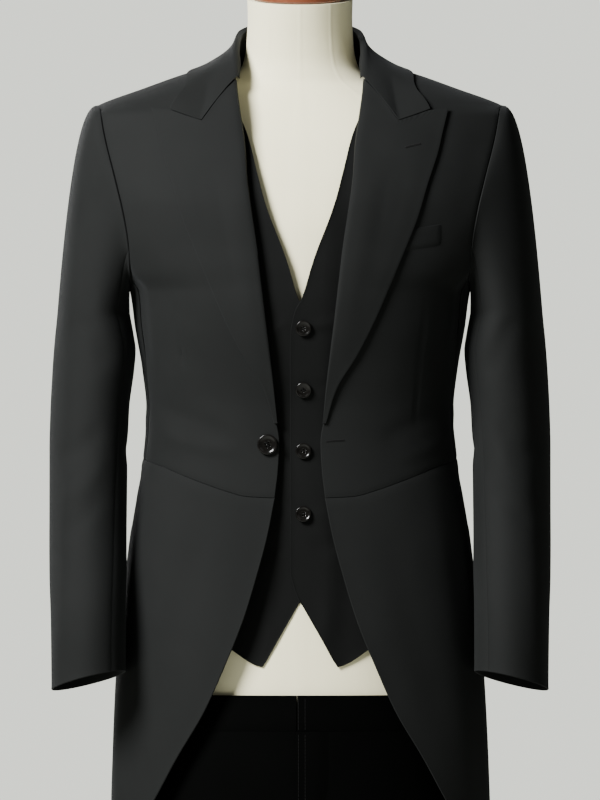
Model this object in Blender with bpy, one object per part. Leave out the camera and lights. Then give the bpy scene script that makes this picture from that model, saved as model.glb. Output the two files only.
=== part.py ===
"""Morning suit on a limbless dress form: tailcoat, waistcoat, trousers, their buttons, and a plain stand.

Metres, +Z up, floor at z = 0. The front faces -Y and +X is the wearer's left. A cloth panel is a thin wall
whose outer face is read from the sections of the body; "out" is how far a layer stands off those sections.
Angles round the body start at the centre front and grow towards +X.
"""

import bpy
import numpy as np

for old in list(bpy.data.objects):
    bpy.data.objects.remove(old, do_unlink=True)

# Driving sizes
SEAM = 0.0004
COAT_CLOTH = 0.0018
WAISTCOAT_CLOTH = 0.0015
TROUSER_CLOTH = 0.0014
FOLDED_CLOTH = 0.0014
NECK_SEAM = 1.742
SHOULDER_POINT = 1.6853
UNDERARM = 1.478
COAT_HEM = 0.705
WAISTCOAT_NOTCH = 1.1415
TROUSER_TOP = 1.037
WAISTBAND_DEPTH = 0.038
CROTCH = 0.785
TROUSER_HEM = 0.037
BASE_RADIUS = 0.190
BASE_THICKNESS = 0.012
ROD_RADIUS = 0.011
COAT_BUTTON = 0.0225
WAISTCOAT_BUTTON = 0.0175
SLEEVE_BUTTON = 0.015


class Table:
    """Rows of named columns. Calling it reads a column along a smooth curve through the rows."""

    def __init__(self, columns, *rows):
        self.columns = columns.split()
        self.rows = np.array(sorted(rows), float)

    def __call__(self, column, at):
        xs, ys = self.rows[:, 0], self.rows[:, self.columns.index(column)]
        step = np.diff(xs)
        rise = np.diff(ys) / step
        slope = np.zeros_like(ys)
        slope[0], slope[-1] = rise[0], rise[-1]
        same_way = rise[:-1] * rise[1:] > 0
        steep = np.where(same_way, rise[:-1] + rise[1:], 1.0)
        slope[1:-1] = np.where(same_way, 2 * rise[:-1] * rise[1:] / steep, 0.0)
        at = np.clip(at, xs[0], xs[-1])
        k = np.clip(np.searchsorted(xs, at) - 1, 0, len(step) - 1)
        t = (at - xs[k]) / step[k]
        start = ys[k] * (1 + 2 * t) * (1 - t) ** 2 + slope[k] * step[k] * t * (1 - t) ** 2
        end = ys[k + 1] * t**2 * (3 - 2 * t) + slope[k + 1] * step[k] * t**2 * (t - 1)
        return start + end


# Sections of the coat's outer face. Past the shoulder point they run on into the sleeve, which hides them.
BODY = Table(
    "height half_width front back middle squareness",
    (0.700, 0.2100, 0.127, 0.133, 0.000, 2.3),
    (0.850, 0.2080, 0.126, 0.134, 0.000, 2.3),
    (0.960, 0.2062, 0.125, 0.134, 0.000, 2.3),
    (1.040, 0.2035, 0.124, 0.132, 0.000, 2.3),
    (1.120, 0.1975, 0.122, 0.125, 0.000, 2.3),
    (1.195, 0.1890, 0.118, 0.112, 0.000, 2.3),
    (1.250, 0.1812, 0.114, 0.101, 0.000, 2.3),
    (1.305, 0.1720, 0.112, 0.095, 0.000, 2.3),
    (1.349, 0.1692, 0.115, 0.097, 0.000, 2.3),
    (1.393, 0.1735, 0.123, 0.103, 0.000, 2.3),
    (1.440, 0.1815, 0.131, 0.111, 0.000, 2.3),
    (1.478, 0.1870, 0.134, 0.117, 0.000, 2.3),
    (1.500, 0.2060, 0.134, 0.120, 0.000, 2.25),
    (1.530, 0.2250, 0.132, 0.122, 0.000, 2.2),
    (1.570, 0.2400, 0.128, 0.121, 0.000, 2.2),
    (1.610, 0.2470, 0.117, 0.117, 0.000, 2.15),
    (1.650, 0.2480, 0.102, 0.110, 0.000, 2.1),
    (1.672, 0.2430, 0.093, 0.105, 0.000, 2.05),
    (1.6853, 0.2195, 0.086, 0.100, 0.000, 2.0),
    (1.7032, 0.1708, 0.074, 0.091, 0.001, 2.0),
    (1.7138, 0.1418, 0.066, 0.087, 0.002, 2.0),
    (1.7285, 0.0990, 0.056, 0.081, 0.003, 2.0),
    (1.742, 0.0725, 0.050, 0.072, 0.004, 2.0),
    (1.752, 0.0710, 0.049, 0.070, 0.004, 2.0),
)
FRONT_EDGE = Table(
    "height x",
    (0.9695, 0.1350),
    (1.0014, 0.1165),
    (1.0361, 0.0965),
    (1.0960, 0.0730),
    (1.1246, 0.0610),
    (1.1565, 0.0512),
    (1.1884, 0.0425),
    (1.2291, 0.0325),
    (1.2841, 0.0245),
    (1.3215, 0.0230),
    (1.3450, 0.0252),
    (1.4200, 0.0335),
    (1.4810, 0.0405),
    (1.5400, 0.0475),
    (1.5940, 0.0545),
    (1.6440, 0.0580),
    (1.6940, 0.0655),
    (1.7340, 0.0685),
    (1.7520, 0.0690),
)
TAIL_EDGE = Table(
    "height degrees",
    (0.700, 133),
    (0.709, 128),
    (0.725, 120.5),
    (0.750, 110),
    (0.780, 98),
    (0.820, 82.5),
    (0.860, 67.5),
    (0.900, 54.5),
    (0.940, 43.8),
    (0.9695, 37.9),
)
WAIST_SEAM = Table(
    "degrees height",
    (5, 1.2530),
    (16.5, 1.2550),
    (27.5, 1.2643),
    (43.5, 1.2775),
    (59, 1.2880),
    (69, 1.2915),
    (90, 1.2965),
    (120, 1.3030),
    (165, 1.3070),
)
ARMHOLE = Table(
    "height front_x back_x",
    (1.4780, 0.1870, 0.1870),
    (1.4850, 0.1850, 0.1895),
    (1.5000, 0.1858, 0.1925),
    (1.5300, 0.1878, 0.1955),
    (1.5660, 0.1938, 0.1990),
    (1.5880, 0.1988, 0.2020),
    (1.6130, 0.2048, 0.2062),
    (1.6390, 0.2114, 0.2110),
    (1.6600, 0.2158, 0.2150),
    (1.6790, 0.2187, 0.2187),
    (1.6853, 0.2195, 0.2195),
)
SIDE_SEAM = Table("height degrees", (1.24, 79), (1.30, 78), (1.38, 76.5), (1.45, 73.5), (1.488, 70.5))
BACK_SEAM = Table(
    "height degrees",
    (0.700, 153),
    (0.950, 156),
    (1.120, 160.5),
    (1.240, 164.5),
    (1.305, 166),
    (1.360, 161.5),
    (1.420, 152),
    (1.480, 139),
    (1.540, 124),
)
BACK_SEAM_TOP = 1.540
SIDE_SEAM_TOP = 1.488
SHOULDER_LEVELS = (
    *(1.512, 1.54, 1.575, 1.612, 1.645, 1.668, 1.68),
    *(SHOULDER_POINT, 1.697, 1.711, 1.727, NECK_SEAM),
)


def unit(vectors):
    return vectors / np.linalg.norm(vectors, axis=-1, keepdims=True)


def smooth_step(t):
    t = np.clip(t, 0.0, 1.0)
    return t * t * (3 - 2 * t)


def offset(surface, u, v, out=0.0):
    """Points of a surface moved out along its normal, which is across (u) times up (v)."""
    u, v, out = np.broadcast_arrays(np.asarray(u, float), np.asarray(v, float), out)
    step = 1e-4
    across = surface(u + step, v) - surface(u - step, v)
    up = surface(u, v + step) - surface(u, v - step)
    return surface(u, v) + unit(np.cross(across, up)) * out[..., None]


def section(table):
    """The surface that a table of body sections describes, by angle and height."""

    def surface(angle, height):
        power = 2 / table("squareness", height)
        sine, cosine = np.sin(angle), np.cos(angle)
        reach = np.where(cosine > 0, table("front", height), table("back", height))
        x = table("half_width", height) * np.sign(sine) * np.abs(sine) ** power
        y = table("middle", height) - reach * np.sign(cosine) * np.abs(cosine) ** power
        return np.stack([x, y, height], axis=-1)

    return surface


def angle_of(table, x, height):
    """The angle of the point on the front of a section that is this far from the centre line."""
    ratio = np.clip(np.abs(x) / table("half_width", height), 0, 1)
    return np.sign(x) * np.arcsin(ratio ** (table("squareness", height) / 2))


def along(surface, angle, height, distance):
    """The angle that lies a distance in metres further round the surface."""
    step = 1e-3
    rate = np.linalg.norm(surface(angle + step, height) - surface(angle - step, height), axis=-1) / (2 * step)
    return angle + distance / rate


def patch(left, right, bottom, top):
    """A grid of pairs filled in between four edges. Left and right run up, bottom and top run across."""
    left, right, bottom, top = (np.asarray(edge, float) for edge in (left, right, bottom, top))
    v = np.linspace(0, 1, len(left))[:, None, None]
    u = np.linspace(0, 1, len(bottom))[None, :, None]
    sides = (1 - u) * left[:, None] + u * right[:, None]
    ends = (1 - v) * bottom[None] + v * top[None]
    corners = (1 - v) * ((1 - u) * left[0] + u * right[0]) + v * ((1 - u) * left[-1] + u * right[-1])
    return sides + ends - corners


def straight(start, end, count):
    return np.linspace(start, end, count)


def pairs(first, second):
    return np.stack(np.broadcast_arrays(first, second), axis=-1)


def mirrored(face):
    """The same face on the wearer's other side, still with its columns counter-clockwise."""
    return face[:, ::-1] * (-1, 1, 1)


def finish(name, colour, roughness, metallic=0.0):
    material = bpy.data.materials.new(name)
    material.use_nodes = True
    shader = material.node_tree.nodes["Principled BSDF"]
    shader.inputs["Base Color"].default_value = (*colour, 1)
    shader.inputs["Roughness"].default_value = roughness
    shader.inputs["Metallic"].default_value = metallic
    return material


COAT_WOOL = finish("coat_wool", (0.016, 0.017, 0.018), 0.85)
WAISTCOAT_WOOL = finish("waistcoat_wool", (0.014, 0.015, 0.016), 0.85)
TROUSER_WOOL = finish("trouser_wool", (0.012, 0.012, 0.013), 0.88)
HORN = finish("black_horn", (0.012, 0.012, 0.012), 0.35)
COVER = finish("cream_cover", (0.72, 0.69, 0.60), 0.8)
WOOD = finish("dark_wood", (0.075, 0.022, 0.014), 0.35)
STEEL = finish("satin_steel", (0.55, 0.55, 0.55), 0.35, 1.0)


def add_solid(name, points, faces, material, sharp_degrees=40):
    mesh = bpy.data.meshes.new(name)
    mesh.from_pydata(np.asarray(points).tolist(), [], faces)
    mesh.validate()
    mesh.shade_smooth()
    mesh.set_sharp_from_angle(angle=np.radians(sharp_degrees))
    mesh.materials.append(material)
    solid = bpy.data.objects.new(name, mesh)
    bpy.context.scene.collection.objects.link(solid)
    return solid


def quads(first, second):
    """Faces between two runs of point numbers."""
    return [
        (first[k], first[k + 1], second[k + 1], second[k])
        for k in range(len(first) - 1)
    ]


def triangles_of(face, numbers):
    """Two triangles for each square of a grid of points, cut along the square's shorter diagonal."""
    flat = face.reshape(-1, 3)
    triangles = []
    for row in range(len(numbers) - 1):
        for a, b, c, d in quads(numbers[row], numbers[row + 1]):
            if np.linalg.norm(flat[a] - flat[c]) <= np.linalg.norm(flat[b] - flat[d]):
                triangles += [(a, b, c), (a, c, d)]
            else:
                triangles += [(a, b, d), (b, c, d)]
    return triangles


def wall(name, face, thickness, material):
    """A closed wall of cloth whose outer face is a grid of points, rows going up and columns across."""
    smooth_ends = [2 if count > 2 else 1 for count in face.shape[:2]]
    across = np.gradient(face, axis=1, edge_order=smooth_ends[1])
    up = np.gradient(face, axis=0, edge_order=smooth_ends[0])
    back = face - unit(np.cross(across, up)) * thickness
    rows, columns = face.shape[:2]
    outer = np.arange(rows * columns).reshape(rows, columns)
    inner = outer + rows * columns
    triangles = triangles_of(face, outer)
    faces = triangles + [tuple(corner + rows * columns for corner in loop[::-1]) for loop in triangles]
    faces += quads(inner[0], outer[0]) + quads(outer[-1], inner[-1])
    faces += quads(outer[:, 0], inner[:, 0]) + quads(inner[:, -1], outer[:, -1])
    points = np.concatenate([face.reshape(-1, 3), back.reshape(-1, 3)])
    return add_solid(name, points, [tuple(map(int, loop)) for loop in faces], material)


def both_sides(name, face, thickness, material):
    wall(name + "_L", face, thickness, material)
    wall(name + "_R", mirrored(face), thickness, material)


def turned(name, rings, material, sharp_degrees=40):
    """A solid closed by flat ends, from rings of points listed from below, each counter-clockwise."""
    rings = np.asarray(rings)
    rows, columns = rings.shape[:2]
    numbers = np.arange(rows * columns).reshape(rows, columns)
    faces = []
    for row in range(rows - 1):
        lower, upper = (np.append(numbers[k], numbers[k][0]) for k in (row, row + 1))
        faces += quads(lower, upper)
    faces += [tuple(numbers[0][::-1]), tuple(numbers[-1])]
    faces = [tuple(map(int, loop)) for loop in faces]
    return add_solid(name, rings.reshape(-1, 3), faces, material, sharp_degrees)


def disc_rings(centre, axis, profile, sides):
    """Rings of a turned piece: rows of (distance along the axis, radius) about a centre."""
    axis = unit(np.asarray(axis, float))
    aside = unit(np.cross((0.0, 0.31, 1.0), axis)) if abs(axis[2]) < 0.95 else np.array((1.0, 0.0, 0.0))
    other = np.cross(axis, aside)
    turn = np.linspace(0, 2 * np.pi, sides, endpoint=False)[:, None]
    circle = np.cos(turn) * aside + np.sin(turn) * other
    return [np.asarray(centre) + distance * axis + radius * circle for distance, radius in profile]


def button(name, surface, u, v, out, diameter, sides=12):
    """A turned button with a raised rim round a sunk middle, lying on a surface."""
    base = offset(surface, u, v, out)
    axis = offset(surface, u, v, out + 0.01) - base
    radius, thickness = diameter / 2, diameter * 0.16
    profile = (
        (0.0, radius * 0.80),
        (thickness * 0.55, radius),
        (thickness, radius * 0.93),
        (thickness, radius * 0.80),
        (thickness * 0.68, radius * 0.62),
    )
    return turned(name, disc_rings(base, axis, profile, sides), HORN)


body = section(BODY)


def front_edge(height):
    """The angle of the coat's front edge: the roll line, the cutaway front, then the tail's edge."""
    upper = angle_of(BODY, FRONT_EDGE("x", np.maximum(height, 0.9695)), np.maximum(height, 0.9695))
    return np.where(height >= 0.9695, upper, np.radians(TAIL_EDGE("degrees", height)))


def armhole_angle(height, column):
    angle = angle_of(BODY, ARMHOLE(column, height), height)
    return angle if column == "front_x" else np.pi - angle


def armhole(turn):
    """A point of the armhole, as angle and height, by its turn: 0 at the top, a quarter at the back."""
    middle, half = (SHOULDER_POINT + UNDERARM) / 2, (SHOULDER_POINT - UNDERARM) / 2
    height = middle + half * np.cos(turn)
    front, back = armhole_angle(height, "front_x"), armhole_angle(height, "back_x")
    return pairs(np.where(np.sin(turn) > 0, back, front), height)


def waist_seam(angle):
    return WAIST_SEAM("height", np.degrees(angle))


def side_angle(height):
    """The outer edge of the forepart: side seam, front of the armhole, then the shoulder seam."""
    seam = np.radians(SIDE_SEAM("degrees", height))
    hole = armhole_angle(np.clip(height, UNDERARM, SHOULDER_POINT), "front_x")
    return np.where(height <= SIDE_SEAM_TOP, seam, np.where(height < SHOULDER_POINT, hole, np.pi / 2))


def back_angle(height):
    """The outer edge of the back: pleat and side-back seam, back of the armhole, then the shoulder seam."""
    seam = np.radians(BACK_SEAM("degrees", height))
    hole = armhole_angle(np.clip(height, UNDERARM, SHOULDER_POINT), "back_x")
    return np.where(height <= BACK_SEAM_TOP, seam, np.where(height < SHOULDER_POINT, hole, np.pi / 2))


def edge_up(angle, heights, set_in):
    """An edge that runs up the body, moved round by a seam's gap or more."""
    heights = np.asarray(heights, float)
    return pairs(along(body, angle(heights), heights, set_in), heights)


# Coat foreparts: cut from the waist seam to the shoulder, ending just inside the fold of the lapel
LAPEL_FOLD = 0.0048
BREAK = 1.335
SEAM_ROWS = 9
FOREPART_COLUMNS = 9
SIDEBODY_COLUMNS = 8
BACK_COLUMNS = 6
side_seam_heights = np.linspace(1.2925, SIDE_SEAM_TOP, SEAM_ROWS)
back_seam_heights = np.linspace(1.3065, BACK_SEAM_TOP, SEAM_ROWS)
front_heights = [*np.linspace(1.2545, SIDE_SEAM_TOP, SEAM_ROWS), *SHOULDER_LEVELS]
side_heights = [*side_seam_heights, *SHOULDER_LEVELS]
fold_room = LAPEL_FOLD * smooth_step((np.array(front_heights) - BREAK + 0.017) / 0.045)
forepart_left = edge_up(front_edge, front_heights, fold_room)
forepart_right = edge_up(side_angle, side_heights, -SEAM)
across = straight(forepart_left[0, 0], forepart_right[0, 0], FOREPART_COLUMNS)
forepart_bottom = pairs(across, waist_seam(across) + SEAM)
forepart_left[0, 1], forepart_right[0, 1] = forepart_bottom[0, 1], forepart_bottom[-1, 1]
forepart_top = straight(forepart_left[-1], forepart_right[-1], FOREPART_COLUMNS)
forepart = patch(forepart_left, forepart_right, forepart_bottom, forepart_top)
both_sides("coat_forepart", offset(body, forepart[..., 0], forepart[..., 1]), COAT_CLOTH, COAT_WOOL)

# Coat sidebodies: under the arm, from the waist seam to the bottom of the armhole
sidebody_left = edge_up(side_angle, side_seam_heights, SEAM)
sidebody_right = edge_up(back_angle, back_seam_heights, -SEAM)
across = straight(sidebody_left[0, 0], sidebody_right[0, 0], SIDEBODY_COLUMNS)
sidebody_bottom = pairs(across, waist_seam(across) + SEAM)
sidebody_left[0, 1], sidebody_right[0, 1] = sidebody_bottom[0, 1], sidebody_bottom[-1, 1]
arc_half = (SHOULDER_POINT - UNDERARM) / 2
arc_middle = UNDERARM + arc_half
front_turn = 2 * np.pi - np.arccos((SIDE_SEAM_TOP - arc_middle) / arc_half)
back_turn = np.arccos((BACK_SEAM_TOP - arc_middle) / arc_half)
sidebody_top = armhole(straight(front_turn, back_turn, SIDEBODY_COLUMNS))
sidebody_top[0], sidebody_top[-1] = sidebody_left[-1], sidebody_right[-1]
sidebody = patch(sidebody_left, sidebody_right, sidebody_bottom, sidebody_top)
both_sides("coat_sidebody", offset(body, sidebody[..., 0], sidebody[..., 1]), COAT_CLOTH, COAT_WOOL)

# Coat backs: shoulder to tail in one; below the waist they lap over the skirts, and the left over the right
PLEAT_LAP = 0.010
PLEAT_TOP = 1.297
VENT_TOP = 1.272
VENT_LAP = 0.022
LAP_RISE = 0.0028
tail_heights = [*np.linspace(COAT_HEM, 1.21, 8), 1.255, VENT_TOP, PLEAT_TOP]
back_heights = np.array([*tail_heights, *back_seam_heights, *SHOULDER_LEVELS[2:]])
below_waist = smooth_step((back_seam_heights[0] - back_heights) / 0.0095)
in_vent = smooth_step((VENT_TOP - back_heights) / 0.015)
lifted = smooth_step((back_seam_heights[0] - back_heights) / 0.03)
for side in ("L", "R"):
    vent = in_vent * (0.004 if side == "L" else VENT_LAP)
    left = edge_up(back_angle, back_heights, SEAM)
    right = pairs(along(body, np.pi, back_heights, vent - SEAM), back_heights)
    hem, neck = straight(left[0], right[0], BACK_COLUMNS), straight(left[-1], right[-1], BACK_COLUMNS)
    panel = patch(left, right, hem, neck)
    rise = np.zeros(panel.shape[:2])
    rise[:, :2] = (LAP_RISE * below_waist)[:, None]
    rise[:, 2] = LAP_RISE / 2 * below_waist
    if side == "L":
        rise[:, 4:] = (LAP_RISE * lifted)[:, None]
        rise[:, 3] = LAP_RISE * 0.7 * lifted
    face = offset(body, panel[..., 0], panel[..., 1], rise)
    wall(f"coat_back_{side}", face if side == "L" else mirrored(face), COAT_CLOTH, COAT_WOOL)

# Coat skirts: below the waist seam, from the cutaway edge round to the pleat under the back
skirt_front = [COAT_HEM, 0.711, 0.73, 0.77, 0.82, 0.87, 0.92, 0.97, 1.02, 1.07, 1.12, 1.17, 1.212, 1.2525]
skirt_back = [*np.linspace(COAT_HEM, 1.225, 11), 1.262, 1.290, 1.3055]
skirt_lap = [PLEAT_LAP] * 12 + [-2 * SEAM] * 2
skirt_left = edge_up(front_edge, skirt_front, 0.0)
skirt_right = edge_up(back_angle, skirt_back, skirt_lap)
across = np.array([*forepart_bottom[:, 0], *sidebody_bottom[2:-1:2, 0], skirt_right[-1, 0]])
skirt_top = pairs(across, waist_seam(across) - 2 * SEAM)
skirt_left[-1, 1], skirt_right[-1, 1] = skirt_top[0, 1], skirt_top[-1, 1]
skirt = patch(skirt_left, skirt_right, straight(skirt_left[0], skirt_right[0], len(across)), skirt_top)
both_sides("coat_skirt", offset(body, skirt[..., 0], skirt[..., 1]), COAT_CLOTH, COAT_WOOL)


# Coat sleeves: two-piece tubes from the armhole to a slanted hem, bent forward below the elbow
SLEEVE = Table(
    "height outer_x inner_x middle half_depth turn",
    (1.040, 0.2715, 0.1905, -0.0765, 0.0500, 4),
    (1.085, 0.2720, 0.1905, -0.0720, 0.0510, 4),
    (1.129, 0.2728, 0.1905, -0.0640, 0.0530, 5),
    (1.173, 0.2745, 0.1898, -0.0500, 0.0555, 6),
    (1.217, 0.2750, 0.1901, -0.0350, 0.0580, 7),
    (1.261, 0.2750, 0.1900, -0.0230, 0.0600, 8),
    (1.305, 0.2750, 0.1896, -0.0140, 0.0620, 9),
    (1.349, 0.2739, 0.1883, -0.0090, 0.0640, 10),
    (1.393, 0.2717, 0.1828, -0.0060, 0.0660, 10),
    (1.415, 0.2702, 0.1810, -0.0050, 0.0670, 9),
    (1.430, 0.2690, 0.1830, -0.0040, 0.0680, 8),
    (1.455, 0.2668, 0.1872, -0.0020, 0.0690, 5),
)
CAP_FOOT = 1.455
ELBOW = 1.30
CUFF = 1.054
HIND_SEAM = np.radians(58)
FOREARM_SEAM = np.radians(-125)


def sleeve_tube(turn, height):
    """The sleeve below the armpit, by its turn: 0 outermost, a quarter at the back."""
    half = (SLEEVE("outer_x", height) - SLEEVE("inner_x", height)) / 2
    depth = SLEEVE("half_depth", height)
    lean = np.radians(SLEEVE("turn", height))
    aside, deep = half * np.cos(turn), depth * np.sin(turn)
    x = SLEEVE("inner_x", height) + half + aside * np.cos(lean) + deep * np.sin(lean)
    y = SLEEVE("middle", height) - aside * np.sin(lean) + deep * np.cos(lean)
    slant = smooth_step((ELBOW - height) / (ELBOW - CUFF))
    z = height + slant * (-0.0095 * np.cos(turn) - 0.0065 * np.sin(turn))
    return np.stack([x, y, z], axis=-1)


def sleeve(turn, up):
    """The whole sleeve: up is a height below the armpit, and past it 0 to 1 over the cap to the armhole."""
    turn, up = np.broadcast_arrays(turn, up)
    tube = sleeve_tube(turn, np.minimum(up, CAP_FOOT))
    rise = np.clip(up - CAP_FOOT, 0, 1)[..., None]
    edge = armhole(turn)
    top = body(edge[..., 0], edge[..., 1]) + np.array((0.0011, 0.0, 0.0))
    top[..., 2] += 0.0012 * (1 - np.cos(turn)) / 2
    top[..., 2] -= 0.0009 * (1 + np.cos(turn)) / 2
    drop = 1 - rise
    out = drop ** (0.39 + 0.35 * ((1 - np.cos(turn))[..., None] / 2) ** 0.75)
    cap = top + (tube - top) * np.concatenate([out, out, drop], axis=-1)
    return np.where(rise > 0, cap, tube)


sleeve_rows = np.array(
    [*np.linspace(CUFF, 1.41, 9), CAP_FOOT, *(CAP_FOOT + np.array((0.16, 0.36, 0.57, 0.76, 0.9, 0.97, 1.0)))]
)
seam_turn = SEAM / 0.055
for name, start, end, columns in (
    ("coat_top_sleeve", FOREARM_SEAM + seam_turn / 2, HIND_SEAM - seam_turn / 2, 10),
    ("coat_under_sleeve", HIND_SEAM + seam_turn / 2, 2 * np.pi + FOREARM_SEAM - seam_turn / 2, 8),
):
    turns, ups = np.meshgrid(straight(start, end, columns), sleeve_rows)
    both_sides(name, sleeve(turns, ups), COAT_CLOTH, COAT_WOOL)


# Lapels: turned back at the roll line and lying on the foreparts, peaked beside the collar
LAPEL_EDGE = Table(
    "height x",
    (1.3350, 0.0280),
    (1.3430, 0.0290),
    (1.3534, 0.0318),
    (1.3738, 0.0405),
    (1.3974, 0.0543),
    (1.4180, 0.0670),
    (1.4535, 0.0836),
    (1.5030, 0.1045),
    (1.5600, 0.1276),
    (1.5943, 0.1380),
    (1.6246, 0.1482),
    (1.6580, 0.1562),
    (1.6768, 0.1611),
)
ROLL_TOP = 1.7115
SLIT_INNER = (0.1067, 1.6636)
SLIT_OUTER = (0.1408, 1.6745)
PEAK = (0.1611, 1.6768)
GORGE = (0.0895, 1.6868)
LAPEL_OUT = 0.0046
LAPEL_FOOT_OUT = 0.0032

lapel_rows = np.array([*np.linspace(BREAK, 1.64, 9), 1.675, 1.697, ROLL_TOP])
edge_rows = np.interp(lapel_rows, (BREAK, 1.64, ROLL_TOP), (BREAK, 1.632, PEAK[1]))
lapel_left = pairs(FRONT_EDGE("x", lapel_rows) + 0.0005, lapel_rows)
lapel_right = pairs(LAPEL_EDGE("x", edge_rows), edge_rows)
top_route = np.array([lapel_left[-1], GORGE, SLIT_INNER, SLIT_OUTER, PEAK])
lapel_across = np.array((0.0, 0.03, 0.12, 0.235, 0.42, 0.6, 0.785, 1.0))
route_at = (0.0, 0.235, 0.42, 0.785, 1.0)
lapel_top = pairs(*(np.interp(lapel_across, route_at, top_route[:, axis]) for axis in (0, 1)))
plain = lapel_left[:, None] + (lapel_right - lapel_left)[:, None] * lapel_across[None, :, None]
pull = (((lapel_rows - BREAK) / (ROLL_TOP - BREAK)) ** 5)[:, None, None]
lapel = plain + pull * (lapel_top - plain[-1])
rolled = smooth_step((lapel_rows - BREAK) / 0.04)[:, None]
lapel_out = np.array((-0.0005, 0.0030, *[LAPEL_OUT] * 5, LAPEL_OUT - 0.0004))
lapel_out = LAPEL_FOOT_OUT + (lapel_out - LAPEL_FOOT_OUT) * rolled
lapel[:, 0, 0] += 0.0016 * rolled[:, 0]
lapel_face = offset(body, angle_of(BODY, lapel[..., 0], lapel[..., 1]), lapel[..., 1], lapel_out)
both_sides("coat_lapel", lapel_face, FOLDED_CLOTH, COAT_WOOL)

# Collar: a stand up from the neck seam, folded over into a fall that ends at the gorge and the slit
COLLAR = Table(
    "station fold_x fold_y fold_z start_degrees start_height edge_degrees edge_height",
    (0, 0.0000, 0.0745, 1.7790, 180.0, 1.7420, 180.0, 1.7270),
    (1, 0.0320, 0.0700, 1.7780, 160.0, 1.7420, 160.0, 1.7268),
    (2, 0.0560, 0.0510, 1.7725, 138.0, 1.7420, 138.0, 1.7262),
    (3, 0.0670, 0.0220, 1.7650, 113.0, 1.7420, 113.0, 1.7250),
    (4, 0.0695, -0.0070, 1.7570, 82.0, 1.7415, 87.0, 1.7222),
    (5, 0.0700, -0.0300, 1.7440, 52.0, 1.7330, 55.0, 1.7105),
    (6, 0.0690, -0.0465, 1.7285, 36.5, 1.7220, 42.0, 1.6955),
    (7, 0.0682, -0.0600, 1.7140, 27.8, 1.7115, 36.2, 1.6768),
)
COLLAR_OUT = LAPEL_OUT + 0.0008
FALL_SHARES = (0.10, 0.30, 0.56, 0.78, 1.0)
COLLAR_STATIONS = (0, 1, 2, 3, 4, 4.6, 5.2, 5.8, 6.4, 7)
GORGE_AT = (0.0, 0.28, 0.56, 1.0)
GORGE_ROUTE = np.array([(0.0688, 1.7130), (0.0900, 1.6885), (0.1072, 1.6655), (0.1415, 1.6765)])


def collar_section(station):
    """One section of the collar, from the foot of its stand over the fold to the edge of its fall."""
    fold = np.array([COLLAR(column, station) for column in ("fold_x", "fold_y", "fold_z")])
    start = np.array((np.radians(COLLAR("start_degrees", station)), COLLAR("start_height", station)))
    edge = np.array((np.radians(COLLAR("edge_degrees", station)), COLLAR("edge_height", station)))
    outward = unit(np.array((fold[0], fold[1] - 0.01, 0.0)))
    to_front = smooth_step((station - 4) / 1.6)
    back_foot = np.array((fold[0] * 1.04, fold[1] * 1.03, NECK_SEAM + 0.001))
    foot = back_foot * (1 - to_front) + (fold - outward * 0.0042 - (0, 0, 0.004)) * to_front
    under_fold = fold - outward * 0.0035
    points = [foot, under_fold * 0.55 + foot * 0.45, under_fold - (0, 0, 0.003), fold]
    rise = fold + outward * 0.0022 - (0, 0, 0.0022) - offset(body, *start, COLLAR_OUT)
    for share in FALL_SHARES:
        angle, height = start + (edge - start) * share
        drop = (1 - share) ** (1.3 + 0.7 * smooth_step(station / 4))
        points.append(offset(body, angle, height, COLLAR_OUT) + rise * drop)
    return np.array(points)


collar_half = np.array([collar_section(station) for station in COLLAR_STATIONS])
end_x, end_z = (np.interp(FALL_SHARES, GORGE_AT, GORGE_ROUTE[:, axis]) for axis in (0, 1))
collar_end = offset(body, angle_of(BODY, end_x, end_z), end_z, COLLAR_OUT)
for station, share in ((-3, 0.30), (-2, 0.64)):
    collar_half[station, 4:] += share * (collar_end - collar_half[-1, 4:])
collar_half[-1, 4:] = collar_end
collar_face = np.concatenate([collar_half[:0:-1] * (-1, 1, 1), collar_half])
wall("coat_collar", collar_face.transpose(1, 0, 2)[::-1], FOLDED_CLOTH, COAT_WOOL)

# Chest welt: a slanted band on the wearer's left chest, tucked under the edge of the lapel
welt_x = straight(0.088, 0.154, 6)
welt_slope = (welt_x - 0.120) * 0.16
welt_low, welt_high = pairs(welt_x, 1.523 + welt_slope), pairs(welt_x, 1.546 + welt_slope)
welt_ends = [straight(welt_low[end], welt_high[end], 3) for end in (0, -1)]
welt = patch(*welt_ends, welt_low, welt_high)
welt_face = offset(body, angle_of(BODY, welt[..., 0], welt[..., 1]), welt[..., 1], 0.0014)
wall("coat_chest_welt", welt_face, 0.0010, COAT_WOOL)

# Coat buttons
VENT_FOOT = 0.034
VENT_STEP = 0.0158
VENT_SET = 0.17


def right_sleeve(turn, up):
    return sleeve(-turn, up) * (-1, 1, 1)


button("coat_front_button", body, angle_of(BODY, -0.0352, 1.3116), 1.3116, SEAM, COAT_BUTTON, 16)
for side, sign in (("L", 1), ("R", -1)):
    pleat = along(body, back_angle(np.array(1.298)), np.array(1.298), 0.0125)
    button(f"coat_back_button_{side}", body, sign * pleat, 1.298, LAP_RISE + 0.0008, COAT_BUTTON)
    for number in range(4):
        name = f"coat_sleeve_button_{side}{number + 1}"
        height = CUFF + VENT_FOOT + number * VENT_STEP
        surface = sleeve if side == "L" else right_sleeve
        button(name, surface, sign * (HIND_SEAM - VENT_SET), height, SEAM + 0.0004, SLEEVE_BUTTON, 10)

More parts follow.
